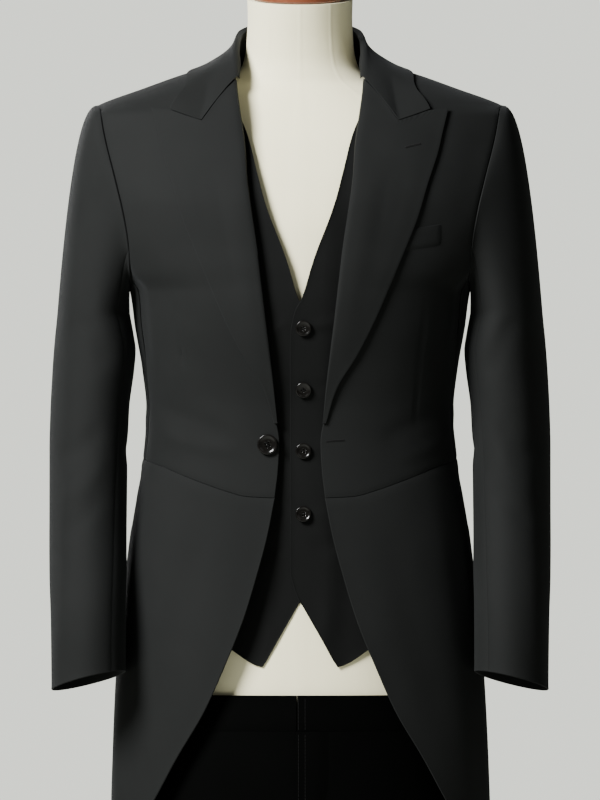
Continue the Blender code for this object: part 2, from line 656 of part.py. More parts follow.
# Waistcoat: two fronts, the left lapped over the right, and one back, a little inside the coat
WAISTCOAT_EDGE = Table(
    "height x",
    (1.1415, 0.0000),
    (1.1576, -0.0066),
    (1.1750, -0.0105),
    (1.4200, -0.0105),
    (1.4414, -0.0090),
    (1.4513, -0.0066),
    (1.4623, -0.0015),
    (1.4735, 0.0036),
    (1.4860, 0.0060),
    (1.5040, 0.0121),
    (1.5390, 0.0265),
    (1.5635, 0.0345),
    (1.5910, 0.0425),
    (1.6350, 0.0540),
    (1.6800, 0.0660),
    (1.7100, 0.0760),
    (1.7320, 0.0830),
)
WAISTCOAT_ARMHOLE = Table(
    "height front_x back_x",
    (1.452, 0.1800, 0.1800),
    (1.470, 0.1680, 0.1730),
    (1.510, 0.1530, 0.1640),
    (1.560, 0.1450, 0.1580),
    (1.620, 0.1440, 0.1550),
    (1.670, 0.1490, 0.1550),
    (1.7032, 0.1600, 0.1600),
    (1.7085, 0.1560, 0.1560),
)
WAISTCOAT_HEM = Table(
    "x height",
    (0.0, WAISTCOAT_NOTCH),
    (0.042, 1.0696),
    (0.074, 1.086),
    (0.12, 1.112),
    (0.19, 1.136),
)
WAISTCOAT_SIDE_TOP = 1.452
WAISTCOAT_SHOULDER = 1.7062
WAISTCOAT_POINT = 0.042
WAISTCOAT_OUT = -0.0082
FRONT_LAP_RISE = 0.0031


def waistcoat_out(height):
    """How far in from the coat's sections the waistcoat lies; below the waist it keeps to the form."""
    return WAISTCOAT_OUT - 0.013 * smooth_step((1.30 - height) / 0.17)


def waistcoat_side(height, column):
    """The side seam, the armhole, then the shoulder seam of the waistcoat, on its front or its back."""
    hole = angle_of(BODY, WAISTCOAT_ARMHOLE(column, height), height)
    hole = hole if column == "front_x" else np.pi - hole
    on_edge = (height > WAISTCOAT_SIDE_TOP) & (height < WAISTCOAT_SHOULDER)
    return np.where(on_edge, hole, np.pi / 2)


def waistcoat_front_edge(height):
    return angle_of(BODY, WAISTCOAT_EDGE("x", height), height)


waistcoat_levels = [WAISTCOAT_SIDE_TOP, 1.47, 1.51, 1.56, 1.61, 1.655, 1.69, WAISTCOAT_SHOULDER, 1.719, 1.732]
front_rows = np.array([WAISTCOAT_NOTCH, 1.158, 1.176, 1.23, 1.30, 1.37, 1.425, *waistcoat_levels])
side_rows = np.array([1.136, 1.16, 1.20, 1.25, 1.31, 1.37, 1.42, *waistcoat_levels])
front_left = edge_up(waistcoat_front_edge, front_rows, 0.0)
front_right = edge_up(lambda height: waistcoat_side(height, "front_x"), side_rows, -SEAM)
hem_x = np.array((0.0, 0.021, WAISTCOAT_POINT, 0.062, 0.085, 0.115, 0.15))
hem_z = WAISTCOAT_HEM("height", hem_x)
hem_z[1] = (hem_z[0] + hem_z[2]) / 2
front_bottom = pairs([*angle_of(BODY, hem_x, hem_z), front_right[0, 0]], [*hem_z, front_right[0, 1]])
front_top = straight(front_left[-1], front_right[-1], 8)
waistcoat_front = patch(front_left, front_right, front_bottom, front_top)
for side, sign in (("L", 1), ("R", -1)):
    place = offset(body, waistcoat_front[..., 0], waistcoat_front[..., 1])
    out = waistcoat_out(waistcoat_front[..., 1])
    if side == "L":
        out = out + FRONT_LAP_RISE * smooth_step((0.055 - place[..., 0]) / 0.03)
    face = offset(body, waistcoat_front[..., 0], waistcoat_front[..., 1], out)
    wall(f"waistcoat_front_{side}", face if side == "L" else mirrored(face), WAISTCOAT_CLOTH, WAISTCOAT_WOOL)

back_left = edge_up(lambda height: waistcoat_side(height, "back_x"), side_rows, SEAM)
back_right = back_left * (-1, 1) + (2 * np.pi, 0)
bottom = straight(back_left[0], back_right[0], 11)
waistcoat_back = patch(back_left, back_right, bottom, straight(back_left[-1], back_right[-1], 11))
back_out = waistcoat_out(waistcoat_back[..., 1])
back_face = offset(body, waistcoat_back[..., 0], waistcoat_back[..., 1], back_out)
wall("waistcoat_back", back_face, WAISTCOAT_CLOTH, WAISTCOAT_WOOL)

for number, height in enumerate((1.4377, 1.3703, 1.3045, 1.2363)):
    out = waistcoat_out(height) + FRONT_LAP_RISE + 0.0012
    angle = angle_of(BODY, 0.0038, height)
    button(f"waistcoat_button_{number + 1}", body, angle, height, out, WAISTCOAT_BUTTON, 14)


# Trousers: a front and a back for each leg, pressed to soft creases, under a waistband
HIPS = Table(
    "height half_width front back middle squareness",
    (0.780, 0.186, 0.104, 0.112, 0.000, 2.2),
    (0.850, 0.186, 0.110, 0.121, 0.000, 2.2),
    (0.930, 0.181, 0.112, 0.121, 0.000, 2.2),
    (1.000, 0.1745, 0.110, 0.116, 0.000, 2.2),
    (1.040, 0.1700, 0.107, 0.113, 0.000, 2.2),
)
LEG = Table(
    "height centre half_width front back",
    (0.030, 0.1010, 0.058, 0.072, 0.072),
    (0.200, 0.1000, 0.060, 0.073, 0.073),
    (0.450, 0.0985, 0.066, 0.079, 0.080),
    (0.650, 0.0970, 0.078, 0.091, 0.096),
    (0.740, 0.0955, 0.0875, 0.098, 0.105),
    (0.800, 0.0950, 0.0925, 0.101, 0.109),
)
CROTCH_START = 0.90
CREASE = 1.35
hips = section(HIPS)


def trouser(share, height):
    """The trousers' left half: share 0 to 1 from the centre front or inseam round the outside to the back."""
    share, height = np.broadcast_arrays(share, height)
    turn = (share - 0.5) * 2 * np.pi
    sine, cosine = np.sin(turn), np.cos(turn)
    front_turn = -np.pi / 2 + share * 2 * np.pi
    aside, ahead = np.sin(front_turn), np.cos(front_turn)
    reach = np.where(ahead > 0, LEG("front", height), LEG("back", height))
    x = LEG("centre", height) + LEG("half_width", height) * np.sign(aside) * np.abs(aside) ** CREASE
    leg = np.stack([x, -reach * ahead, height], axis=-1)
    seat = hips(share * np.pi, height)
    blend = smooth_step((CROTCH_START - height) / (CROTCH_START - CROTCH))[..., None]
    return seat * (1 - blend) + leg * blend


trouser_rows = np.array(
    [*np.linspace(TROUSER_HEM, 0.70, 8), 0.75, CROTCH, 0.806, 0.83, 0.856, 0.885, 0.93]
    + [TROUSER_TOP - WAISTBAND_DEPTH - SEAM]
)
for name, start, end in (("trouser_front", 0.0, 0.5), ("trouser_back", 0.5, 1.0)):
    shares, heights = np.meshgrid(straight(start, end, 7), trouser_rows)
    face = offset(trouser, shares, heights)
    set_in = unit(np.gradient(face, axis=1)) * (SEAM / 2 + 0.0001)
    face[:, 0] += set_in[:, 0]
    face[:, -1] -= set_in[:, -1]
    both_sides(name, face, TROUSER_CLOTH, TROUSER_WOOL)

FLY_EDGE = -0.0033
band_start = angle_of(HIPS, FLY_EDGE, 1.02) + 0.004
angles, heights = np.meshgrid(
    straight(band_start, band_start + 2 * np.pi - 0.008, 27),
    straight(TROUSER_TOP - WAISTBAND_DEPTH, TROUSER_TOP, 2),
)
wall("trouser_waistband", offset(hips, angles, heights, 0.0006), 0.0022, TROUSER_WOOL)

fly_rows = straight(0.902, TROUSER_TOP - WAISTBAND_DEPTH - 2 * SEAM, 6)
fly_x = np.array((0.012, 0.030, 0.0345, 0.035, 0.035, 0.035))
fly_left = pairs(angle_of(HIPS, np.full(6, FLY_EDGE), fly_rows), fly_rows)
fly_right = pairs(angle_of(HIPS, fly_x, fly_rows), fly_rows)
fly_ends = [straight(fly_left[end], fly_right[end], 5) for end in (0, -1)]
fly = patch(fly_left, fly_right, *fly_ends)
fly_face = offset(hips, fly[..., 0], fly[..., 1], 0.0017)
wall("trouser_fly", fly_face, 0.0012, TROUSER_WOOL)


# Dress form: a covered torso and neck in one, smooth and a few millimetres inside the clothes
FORM = Table(
    "height half_width front back middle squareness",
    (0.955, 0.1630, 0.097, 0.104, 0.000, 2.2),
    (0.972, 0.1690, 0.103, 0.110, 0.000, 2.2),
    (1.030, 0.1655, 0.102, 0.108, 0.000, 2.2),
    (1.100, 0.1620, 0.100, 0.104, 0.000, 2.2),
    (1.180, 0.1590, 0.096, 0.092, 0.000, 2.2),
    (1.260, 0.1510, 0.092, 0.079, 0.000, 2.2),
    (1.330, 0.1480, 0.094, 0.078, 0.000, 2.2),
    (1.400, 0.1530, 0.104, 0.086, 0.000, 2.2),
    (1.470, 0.1630, 0.116, 0.096, 0.000, 2.2),
    (1.540, 0.1760, 0.113, 0.101, 0.000, 2.3),
    (1.600, 0.1790, 0.100, 0.096, 0.000, 2.4),
    (1.640, 0.1780, 0.086, 0.089, 0.000, 2.3),
    (1.664, 0.1640, 0.074, 0.082, 0.002, 2.1),
    (1.682, 0.1360, 0.064, 0.074, 0.004, 2.0),
    (1.698, 0.1020, 0.056, 0.066, 0.006, 2.0),
    (1.712, 0.0760, 0.051, 0.058, 0.008, 2.0),
    (1.728, 0.0635, 0.0495, 0.0525, 0.008, 2.0),
    (1.750, 0.0590, 0.0500, 0.0500, 0.005, 2.0),
    (1.780, 0.0575, 0.0520, 0.0520, -0.001, 2.0),
    (1.800, 0.0580, 0.0540, 0.0540, -0.005, 2.0),
)
NECK_TOP = 1.8005
NECK_TILT = 0.15
form_rows = np.array(
    [0.955, 0.963, 0.985, 1.03, 1.10, 1.18, 1.26, 1.33, 1.40, 1.47, 1.54, 1.60]
    + [1.635, 1.655, 1.67, 1.683, 1.697, 1.711, 1.728]
)
neck_rows = np.array([1.75, 1.775, NECK_TOP])
around = np.linspace(0, 2 * np.pi, 24, endpoint=False)
angles, heights = np.meshgrid(around, np.concatenate([form_rows, neck_rows]))
torso = section(FORM)(angles, heights)
tilt = smooth_step((torso[..., 2] - 1.728) / (NECK_TOP - 1.728))
torso[..., 2] += tilt * NECK_TILT * (torso[..., 1] + 0.005)
turned("form_torso", torso, COVER)

cap_axis = unit(np.array((0.0, -NECK_TILT, 1.0)))
cap_base = np.array((0.0, -0.005, NECK_TOP)) + cap_axis * SEAM
cap_profile = (
    *((0.0, 0.0515), (0.003, 0.0535), (0.011, 0.0535), (0.017, 0.050)),
    *((0.022, 0.041), (0.025, 0.027), (0.026, 0.010)),
)
turned("form_neck_cap", disc_rings(cap_base, cap_axis, cap_profile, 20), WOOD)

# Stand: two rods from the torso's underside, each down one trouser leg, to a round base
ROD_X = 0.100
ROD_Y = 0.030
for side, sign in (("L", 1), ("R", -1)):
    rod = ((0.0, ROD_RADIUS), (0.955 - BASE_THICKNESS - 2 * SEAM, ROD_RADIUS))
    foot = (sign * ROD_X, ROD_Y, BASE_THICKNESS + SEAM)
    turned(f"stand_rod_{side}", disc_rings(foot, (0, 0, 1), rod, 14), STEEL)
base_profile = (
    (0.0, BASE_RADIUS),
    (BASE_THICKNESS - 0.002, BASE_RADIUS),
    (BASE_THICKNESS, BASE_RADIUS - 0.003),
)
turned("stand_base", disc_rings((0, 0, 0), (0, 0, 1), base_profile, 40), STEEL)
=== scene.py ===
"""Looks of a morning suit on a dress form: pressed wool, horn buttons, a covered form and its stand."""

import bpy
import numpy as np
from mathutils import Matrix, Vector


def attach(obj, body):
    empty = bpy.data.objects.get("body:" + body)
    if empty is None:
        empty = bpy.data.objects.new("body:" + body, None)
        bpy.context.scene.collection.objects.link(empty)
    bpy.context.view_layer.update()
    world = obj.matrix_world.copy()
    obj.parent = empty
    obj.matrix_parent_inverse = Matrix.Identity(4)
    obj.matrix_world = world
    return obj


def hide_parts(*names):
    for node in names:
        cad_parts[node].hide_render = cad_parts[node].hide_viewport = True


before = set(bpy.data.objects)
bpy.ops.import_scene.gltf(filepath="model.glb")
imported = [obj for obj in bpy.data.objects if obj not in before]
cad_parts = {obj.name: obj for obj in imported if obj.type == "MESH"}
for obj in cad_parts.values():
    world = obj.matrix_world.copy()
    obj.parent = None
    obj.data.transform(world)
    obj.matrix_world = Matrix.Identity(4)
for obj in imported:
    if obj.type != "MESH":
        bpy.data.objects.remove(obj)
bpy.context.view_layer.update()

# Cloth of the coat: black worsted wool, cut to the body's sections and pressed. Every panel is a thin shell
# that is read from the same sections. Sizes are in metres, +X is the wearer's left, and angles start at the
# centre front.
SEAM = 0.0004
COAT_CLOTH = 0.0018
SHOULDER_POINT = 1.6853
UNDERARM = 1.478
NECK_SEAM = 1.742
CLOTH_STEP = 0.006
EDGE_ROWS = np.array((0.0, 0.0010, 0.0028))
SEAM_SINK = -0.0006
EDGE_ROLL = 0.0003
TWILL_TURN = 0.96


def curve(xs, ys, at):
    """Values read at places along xs, on a smooth curve through the rows of ys that never passes them."""
    gaps = np.diff(xs)
    tail = (1,) * (ys.ndim - 1)
    wide = gaps.reshape((-1,) + tail)
    rise = np.diff(ys, axis=0) / wide
    slope = np.zeros_like(ys)
    slope[0], slope[-1] = rise[0], rise[-1]
    same_way = rise[:-1] * rise[1:] > 0
    total = np.where(same_way, rise[:-1] + rise[1:], 1.0)
    slope[1:-1] = np.where(same_way, 2 * rise[:-1] * rise[1:] / total, 0.0)
    at = np.clip(at, xs[0], xs[-1])
    k = np.clip(np.searchsorted(xs, at) - 1, 0, len(gaps) - 1)
    t = ((at - xs[k]) / gaps[k]).reshape(np.shape(at) + tail)
    start = ys[k] * (1 + 2 * t) * (1 - t) ** 2 + slope[k] * wide[k] * t * (1 - t) ** 2
    end = ys[k + 1] * t**2 * (3 - 2 * t) + slope[k + 1] * wide[k] * t**2 * (t - 1)
    return start + end


class Table:
    """Rows of named columns. Calling it reads a column along a smooth curve through the rows."""

    def __init__(self, columns, *rows):
        self.columns = columns.split()
        self.rows = np.array(sorted(rows), float)

    def __call__(self, column, at):
        return curve(self.rows[:, 0], self.rows[:, self.columns.index(column)], np.asarray(at, float))


def unit(vectors):
    return vectors / np.linalg.norm(vectors, axis=-1, keepdims=True)


def smooth_step(t):
    t = np.clip(t, 0.0, 1.0)
    return t * t * (3 - 2 * t)


def offset(surface, u, v, out=0.0):
    """Points of a surface moved out along its normal, which is across (u) times up (v)."""
    u, v, out = np.broadcast_arrays(np.asarray(u, float), np.asarray(v, float), out)
    step = 1e-4
    across = surface(u + step, v) - surface(u - step, v)
    up = surface(u, v + step) - surface(u, v - step)
    return surface(u, v) + unit(np.cross(across, up)) * out[..., None]


def section(table):
    """The surface that a table of body sections describes, by angle and height."""

    def surface(angle, height):
        power = 2 / table("squareness", height)
        sine, cosine = np.sin(angle), np.cos(angle)
        reach = np.where(cosine > 0, table("front", height), table("back", height))
        x = table("half_width", height) * np.sign(sine) * np.abs(sine) ** power
        y = table("middle", height) - reach * np.sign(cosine) * np.abs(cosine) ** power
        return np.stack([x, y, height], axis=-1)

    return surface


def angle_of(table, x, height):
    """The angle of the point on the front of a section that is this far from the centre line."""
    ratio = np.clip(np.abs(x) / table("half_width", height), 0, 1)
    return np.sign(x) * np.arcsin(ratio ** (table("squareness", height) / 2))


def along(surface, angle, height, distance):
    """The angle that lies a distance in metres further round the surface."""
    step = 1e-3
    rate = np.linalg.norm(surface(angle + step, height) - surface(angle - step, height), axis=-1) / (2 * step)
    return angle + distance / rate


def patch(left, right, bottom, top, shares=None):
    """A grid of pairs filled in between four edges. Left and right run up, bottom and top run across."""
    left, right, bottom, top = (np.asarray(edge, float) for edge in (left, right, bottom, top))
    v = np.linspace(0, 1, len(left))[:, None, None]
    u = (np.linspace(0, 1, len(bottom)) if shares is None else shares)[None, :, None]
    sides = (1 - u) * left[:, None] + u * right[:, None]
    ends = (1 - v) * bottom[None] + v * top[None]
    corners = (1 - v) * ((1 - u) * left[0] + u * right[0]) + v * ((1 - u) * left[-1] + u * right[-1])
    return sides + ends - corners


def between(left, right, columns):
    """A patch whose bottom and top run straight from its left edge to its right."""
    bottom, top = (np.linspace(left[end], right[end], columns) for end in (0, -1))
    return patch(left, right, bottom, top)


def pairs(first, second):
    return np.stack(np.broadcast_arrays(first, second), axis=-1)


def with_rise(grid, rise=0.0):
    """A grid of (angle, height) with a third column, how far out the cloth lies."""
    return np.concatenate([grid, np.broadcast_to(rise, grid.shape[:2])[..., None]], axis=-1)


def for_side(face, side):
    """A left face as it is, or mirrored for the right, still with its columns counter-clockwise."""
    return face if side == "L" else face[:, ::-1] * (-1, 1, 1)


def stops(start, end, count, near=EDGE_ROWS):
    """Places from start to end: close together at the two ends, where seams and edges roll."""
    middle = np.linspace(start + near[-1], end - near[-1], count)
    return np.concatenate([start + near[:-1], middle, end - near[-2::-1]])


def finer(grid, place, step=CLOTH_STEP):
    """A panel's grid read again closely enough for soft folds and rolled edges."""
    points = place(grid)
    for axis in (0, 1):
        run = np.linalg.norm(np.diff(points, axis=axis), axis=-1).mean(axis=1 - axis)
        at = np.append(0.0, np.cumsum(run))
        places = stops(0.0, at[-1], max(3, int(round(at[-1] / step))))
        grid = np.moveaxis(curve(at, np.moveaxis(grid, axis, 0), places), 0, axis)
    return grid


def runs(face, axis):
    """The distance run along each line of a grid of points, from its first point."""
    length = np.linalg.norm(np.diff(face, axis=axis), axis=-1)
    first = np.zeros_like(np.take(length, [0], axis=axis))
    return np.concatenate([first, np.cumsum(length, axis=axis)], axis=axis)


def beside(face, left=0.0, right=0.0, bottom=0.0, top=0.0, width=0.0022):
    """How far seams sink or turned edges lift the cloth beside each side of a panel."""
    across, up = runs(face, 1), runs(face, 0)
    nears = ((across, left), (across[:, -1:] - across, right), (up, bottom), (up[-1:] - up, top))
    return sum(amount * np.exp(-((near / width) ** 2)) for near, amount in nears)


def folds(first, second, rows, scale=1.0):
    """How far soft folds lift the cloth. A row: where a fold starts and ends, its half width, height and bow.

    Its places across are in the rows' own unit, and scale turns them into metres.
    """
    total = np.zeros(np.shape(first))
    for start, low, end, high, width, height, bow in rows:
        run_a, run_b = (end - start) * scale, high - low
        length = np.hypot(run_a, run_b)
        first_run, second_run = first - start * scale, second - low
        share = (first_run * run_a + second_run * run_b) / length**2
        aside = (first_run * run_b - second_run * run_a) / length
        aside = aside - bow * 4 * share * (1 - share)
        ends = smooth_step((share + 0.18) / 0.36) * smooth_step((1.18 - share) / 0.36)
        total = total + height * ends * np.exp(-((aside / width) ** 2))
    return total


def add_mesh(name, points, faces, material, uvs=None, sharp_degrees=50):
    mesh = bpy.data.meshes.new(name)
    mesh.from_pydata(np.asarray(points).tolist(), [], [tuple(map(int, loop)) for loop in faces])
    mesh.materials.append(material)
    if uvs is not None:
        corners = np.zeros(len(mesh.loops), np.int32)
        mesh.loops.foreach_get("vertex_index", corners)
        layer = mesh.uv_layers.new(name="cloth")
        layer.data.foreach_set("uv", np.asarray(uvs, np.float32)[corners].ravel())
    mesh.validate()
    mesh.shade_smooth()
    mesh.set_sharp_from_angle(angle=np.radians(sharp_degrees))
    piece = bpy.data.objects.new(name, mesh)
    bpy.context.scene.collection.objects.link(piece)
    return piece


def quads(first, second):
    """Faces between two runs of point numbers."""
    return np.stack([first[:-1], first[1:], second[1:], second[:-1]], axis=-1).reshape(-1, 4).tolist()


def shell(name, face, thickness, material):
    """A closed shell of cloth with a rounded rim, whose outer face is a grid of points."""
    across, up = np.gradient(face, axis=1), np.gradient(face, axis=0)
    normal = unit(np.cross(across, up))
    back = face - normal * thickness
    rows, columns = face.shape[:2]
    outer = np.arange(rows * columns).reshape(rows, columns)
    inner = outer + rows * columns
    loop = np.concatenate([outer[0, :-1], outer[:-1, -1], outer[-1, :0:-1], outer[:0:-1, 0]])
    outward = face.copy()
    outward[0] -= unit(up[0]) * thickness * 0.4
    outward[-1] += unit(up[-1]) * thickness * 0.4
    outward[:, 0] -= unit(across[:, 0]) * thickness * 0.4
    outward[:, -1] += unit(across[:, -1]) * thickness * 0.4
    rim = (outward - normal * thickness / 2).reshape(-1, 3)[loop]
    numbers = np.append(np.arange(len(loop)) + 2 * rows * columns, 2 * rows * columns)
    closed = np.append(loop, loop[0])
    faces = []
    for row in range(rows - 1):
        faces += quads(outer[row], outer[row + 1]) + quads(inner[row + 1], inner[row])
    faces += quads(numbers, closed) + quads(closed + rows * columns, numbers)
    points = np.concatenate([face.reshape(-1, 3), back.reshape(-1, 3), rim])
    flat = np.stack([runs(face, 1), runs(face, 0)], axis=-1).reshape(-1, 2)
    return add_mesh(name, points, faces, material, np.concatenate([flat, flat, flat[loop]]))


def cloth(node, face, thickness, material):
    """One cut piece of cloth, which stands for its plain panel in the frame."""
    piece = shell(node + "_cloth", face, thickness, material)
    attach(piece, "root")
    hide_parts(node)
    return piece


def link(tree, start, end):
    tree.links.new(start, end)


def shader(tree, kind, **settings):
    """A shader node with its settings and the constant values of its sockets."""
    node = tree.nodes.new(kind)
    for key, value in settings.items():
        if hasattr(node, key):
            setattr(node, key, value)
        else:
            node.inputs[key.replace("_", " ")].default_value = value
    return node


def new_material(name):
    """A new material with its node tree and its main shader."""
    material = bpy.data.materials.new(name)
    material.use_nodes = True
    return material, material.node_tree, material.node_tree.nodes["Principled BSDF"]


def texture(tree, kind, place, **settings):
    """A pattern, Noise or Wave, read at a place."""
    node = shader(tree, "ShaderNodeTex" + kind, **settings)
    link(tree, place, node.inputs["Vector"])
    return node.outputs["Fac"]


def ranged(tree, value, low, high, into):
    """A value from 0 to 1 that is spread between two others."""
    node = shader(tree, "ShaderNodeMapRange", To_Min=low, To_Max=high)
    link(tree, value, node.inputs["Value"])
    link(tree, node.outputs["Result"], into)


def two_colours(tree, share, first, second, into):
    """A colour between two others."""
    node = shader(tree, "ShaderNodeMix", data_type="RGBA")
    node.inputs[6].default_value = (*first, 1)
    node.inputs[7].default_value = (*second, 1)
    link(tree, share, node.inputs[0])
    link(tree, node.outputs[2], into)


def relief(tree, first, second, strength, distance, into):
    """The relief that two patterns make together, as a normal, and the pattern itself."""
    grain = shader(tree, "ShaderNodeMix", data_type="FLOAT")
    grain.inputs[0].default_value = 0.5
    link(tree, first, grain.inputs[2])
    link(tree, second, grain.inputs[3])
    bump = shader(tree, "ShaderNodeBump", Strength=strength, Distance=distance)
    link(tree, grain.outputs[0], bump.inputs["Height"])
    link(tree, bump.outputs["Normal"], into)
    return grain.outputs[0]


def new_group(name, ins, outs):
    """A node group with named sockets: Color, Float or Vector."""
    group = bpy.data.node_groups.new(name, "ShaderNodeTree")
    for label, kind in ins:
        group.interface.new_socket(name=label, in_out="INPUT", socket_type="NodeSocket" + kind)
    for label, kind in outs:
        group.interface.new_socket(name=label, in_out="OUTPUT", socket_type="NodeSocket" + kind)
    return group, group.nodes.new("NodeGroupInput"), group.nodes.new("NodeGroupOutput")


def worsted_group():
    """Worsted wool: fine steep twill lines, stray fibres, and slow light and dark areas from pressing."""
    ins = [("Cloth", "Color"), ("Pressed", "Color")]
    outs = [("Color", "Color"), ("Rough", "Float"), ("Normal", "Vector")]
    tree, inputs, outputs = new_group("worsted", ins, outs)
    uv = shader(tree, "ShaderNodeUVMap", uv_map="cloth").outputs["UV"]
    turned_uv = shader(tree, "ShaderNodeMapping", Rotation=(0.0, 0.0, TWILL_TURN))
    link(tree, uv, turned_uv.inputs["Vector"])
    waves = {"Scale": 420.0, "Distortion": 1.2, "Detail": 2.0, "Detail_Scale": 2.0}
    twill = texture(tree, "Wave", turned_uv.outputs["Vector"], **waves)
    fibres = texture(tree, "Noise", uv, Scale=1600.0, Detail=3.0, Roughness=0.7)
    areas = texture(tree, "Noise", uv, Scale=9.0, Detail=3.0, Roughness=0.55)
    grain = relief(tree, twill, fibres, 0.35, 0.0004, outputs.inputs["Normal"])
    shade = shader(tree, "ShaderNodeMapRange", From_Min=0.25, From_Max=0.75, To_Min=0.0, To_Max=1.0)
    link(tree, areas, shade.inputs["Value"])
    mixed = shader(tree, "ShaderNodeMix", data_type="RGBA")
    link(tree, shade.outputs["Result"], mixed.inputs[0])
    link(tree, inputs.outputs["Cloth"], mixed.inputs[6])
    link(tree, inputs.outputs["Pressed"], mixed.inputs[7])
    speckle = shader(tree, "ShaderNodeMapRange", From_Min=0.2, From_Max=0.8, To_Min=0.72, To_Max=1.28)
    link(tree, grain, speckle.inputs["Value"])
    coloured = shader(tree, "ShaderNodeMix", data_type="RGBA", blend_type="MULTIPLY")
    coloured.inputs[0].default_value = 1.0
    link(tree, mixed.outputs[2], coloured.inputs[6])
    link(tree, speckle.outputs["Result"], coloured.inputs[7])
    link(tree, coloured.outputs[2], outputs.inputs["Color"])
    ranged(tree, areas, 0.66, 0.84, outputs.inputs["Rough"])
    return tree


WORSTED = worsted_group()


def wool(name, cloth_colour, pressed_colour, sheen, shine=0.10):
    """A suit cloth made with the worsted group, with the soft sheen of its nap."""
    material, tree, surface = new_material(name)
    weave = shader(tree, "ShaderNodeGroup", node_tree=WORSTED)
    weave.inputs["Cloth"].default_value = (*cloth_colour, 1)
    weave.inputs["Pressed"].default_value = (*pressed_colour, 1)
    link(tree, weave.outputs["Color"], surface.inputs["Base Color"])
    link(tree, weave.outputs["Rough"], surface.inputs["Roughness"])
    link(tree, weave.outputs["Normal"], surface.inputs["Normal"])
    surface.inputs["Sheen Weight"].default_value = sheen
    surface.inputs["Sheen Roughness"].default_value = 0.45
    surface.inputs["Sheen Tint"].default_value = (0.80, 0.84, 0.88, 1)
    surface.inputs["Specular IOR Level"].default_value = shine
    return material


COAT_WOOL = wool("coat_worsted", (0.0070, 0.0076, 0.0073), (0.0097, 0.0103, 0.0100), 0.033, 0.075)

BODY = Table(
    "height half_width front back middle squareness",
    (0.700, 0.2100, 0.127, 0.133, 0.000, 2.3),
    (0.850, 0.2080, 0.126, 0.134, 0.000, 2.3),
    (0.960, 0.2062, 0.125, 0.134, 0.000, 2.3),
    (1.040, 0.2035, 0.124, 0.132, 0.000, 2.3),
    (1.120, 0.1975, 0.122, 0.125, 0.000, 2.3),
    (1.195, 0.1890, 0.118, 0.112, 0.000, 2.3),
    (1.250, 0.1812, 0.114, 0.101, 0.000, 2.3),
    (1.305, 0.1720, 0.112, 0.095, 0.000, 2.3),
    (1.349, 0.1692, 0.115, 0.097, 0.000, 2.3),
    (1.393, 0.1735, 0.123, 0.103, 0.000, 2.3),
    (1.440, 0.1815, 0.131, 0.111, 0.000, 2.3),
    (1.478, 0.1870, 0.134, 0.117, 0.000, 2.3),
    (1.500, 0.2060, 0.134, 0.120, 0.000, 2.25),
    (1.530, 0.2250, 0.132, 0.122, 0.000, 2.2),
    (1.570, 0.2400, 0.128, 0.121, 0.000, 2.2),
    (1.610, 0.2470, 0.117, 0.117, 0.000, 2.15),
    (1.650, 0.2480, 0.102, 0.110, 0.000, 2.1),
    (1.672, 0.2430, 0.093, 0.105, 0.000, 2.05),
    (1.6853, 0.2195, 0.086, 0.100, 0.000, 2.0),
    (1.7032, 0.1708, 0.074, 0.091, 0.001, 2.0),
    (1.7138, 0.1418, 0.066, 0.087, 0.002, 2.0),
    (1.7285, 0.0990, 0.056, 0.081, 0.003, 2.0),
    (1.742, 0.0725, 0.050, 0.072, 0.004, 2.0),
    (1.752, 0.0710, 0.049, 0.070, 0.004, 2.0),
)
FRONT_EDGE = Table(
    "height x",
    (0.9695, 0.1350),
    (1.0014, 0.1165),
    (1.0361, 0.0965),
    (1.0960, 0.0730),
    (1.1246, 0.0610),
    (1.1565, 0.0512),
    (1.1884, 0.0425),
    (1.2291, 0.0325),
    (1.2841, 0.0245),
    (1.3215, 0.0230),
    (1.3450, 0.0252),
    (1.4200, 0.0335),
    (1.4810, 0.0405),
    (1.5400, 0.0475),
    (1.5940, 0.0545),
    (1.6440, 0.0580),
    (1.6940, 0.0655),
    (1.7340, 0.0685),
    (1.7520, 0.0690),
)
TAIL_EDGE = Table(
    "height degrees",
    (0.700, 133),
    (0.709, 128),
    (0.725, 120.5),
    (0.750, 110),
    (0.780, 98),
    (0.820, 82.5),
    (0.860, 67.5),
    (0.900, 54.5),
    (0.940, 43.8),
    (0.9695, 37.9),
)
CUTAWAY_FOOT = 0.9695
WAIST_SEAM = Table(
    "degrees height",
    (5, 1.2530),
    (16.5, 1.2550),
    (27.5, 1.2643),
    (43.5, 1.2775),
    (59, 1.2880),
    (69, 1.2915),
    (90, 1.2965),
    (120, 1.3030),
    (165, 1.3070),
)
ARMHOLE = Table(
    "height front_x back_x",
    (1.4780, 0.1870, 0.1870),
    (1.4850, 0.1850, 0.1895),
    (1.5000, 0.1858, 0.1925),
    (1.5300, 0.1878, 0.1955),
    (1.5660, 0.1938, 0.1990),
    (1.5880, 0.1988, 0.2020),
    (1.6130, 0.2048, 0.2062),
    (1.6390, 0.2114, 0.2110),
    (1.6600, 0.2158, 0.2150),
    (1.6790, 0.2187, 0.2187),
    (1.6853, 0.2195, 0.2195),
)
SIDE_SEAM = Table("height degrees", (1.24, 79), (1.30, 78), (1.38, 76.5), (1.45, 73.5), (1.488, 70.5))
SIDE_SEAM_TOP = 1.488
BACK_SEAM = Table(
    "height degrees",
    (0.700, 153),
    (0.950, 156),
    (1.120, 160.5),
    (1.240, 164.5),
    (1.305, 166),
    (1.360, 161.5),
    (1.420, 152),
    (1.480, 139),
    (1.540, 124),
)
BACK_SEAM_TOP = 1.540
SLEEVE_LEVELS = (1.495, 1.503, *np.linspace(1.512, 1.668, 16), 1.674, 1.68, SHOULDER_POINT)
SHOULDER_LEVELS = (*SLEEVE_LEVELS, 1.691, 1.697, 1.704, 1.711, 1.719, 1.727, NECK_SEAM)
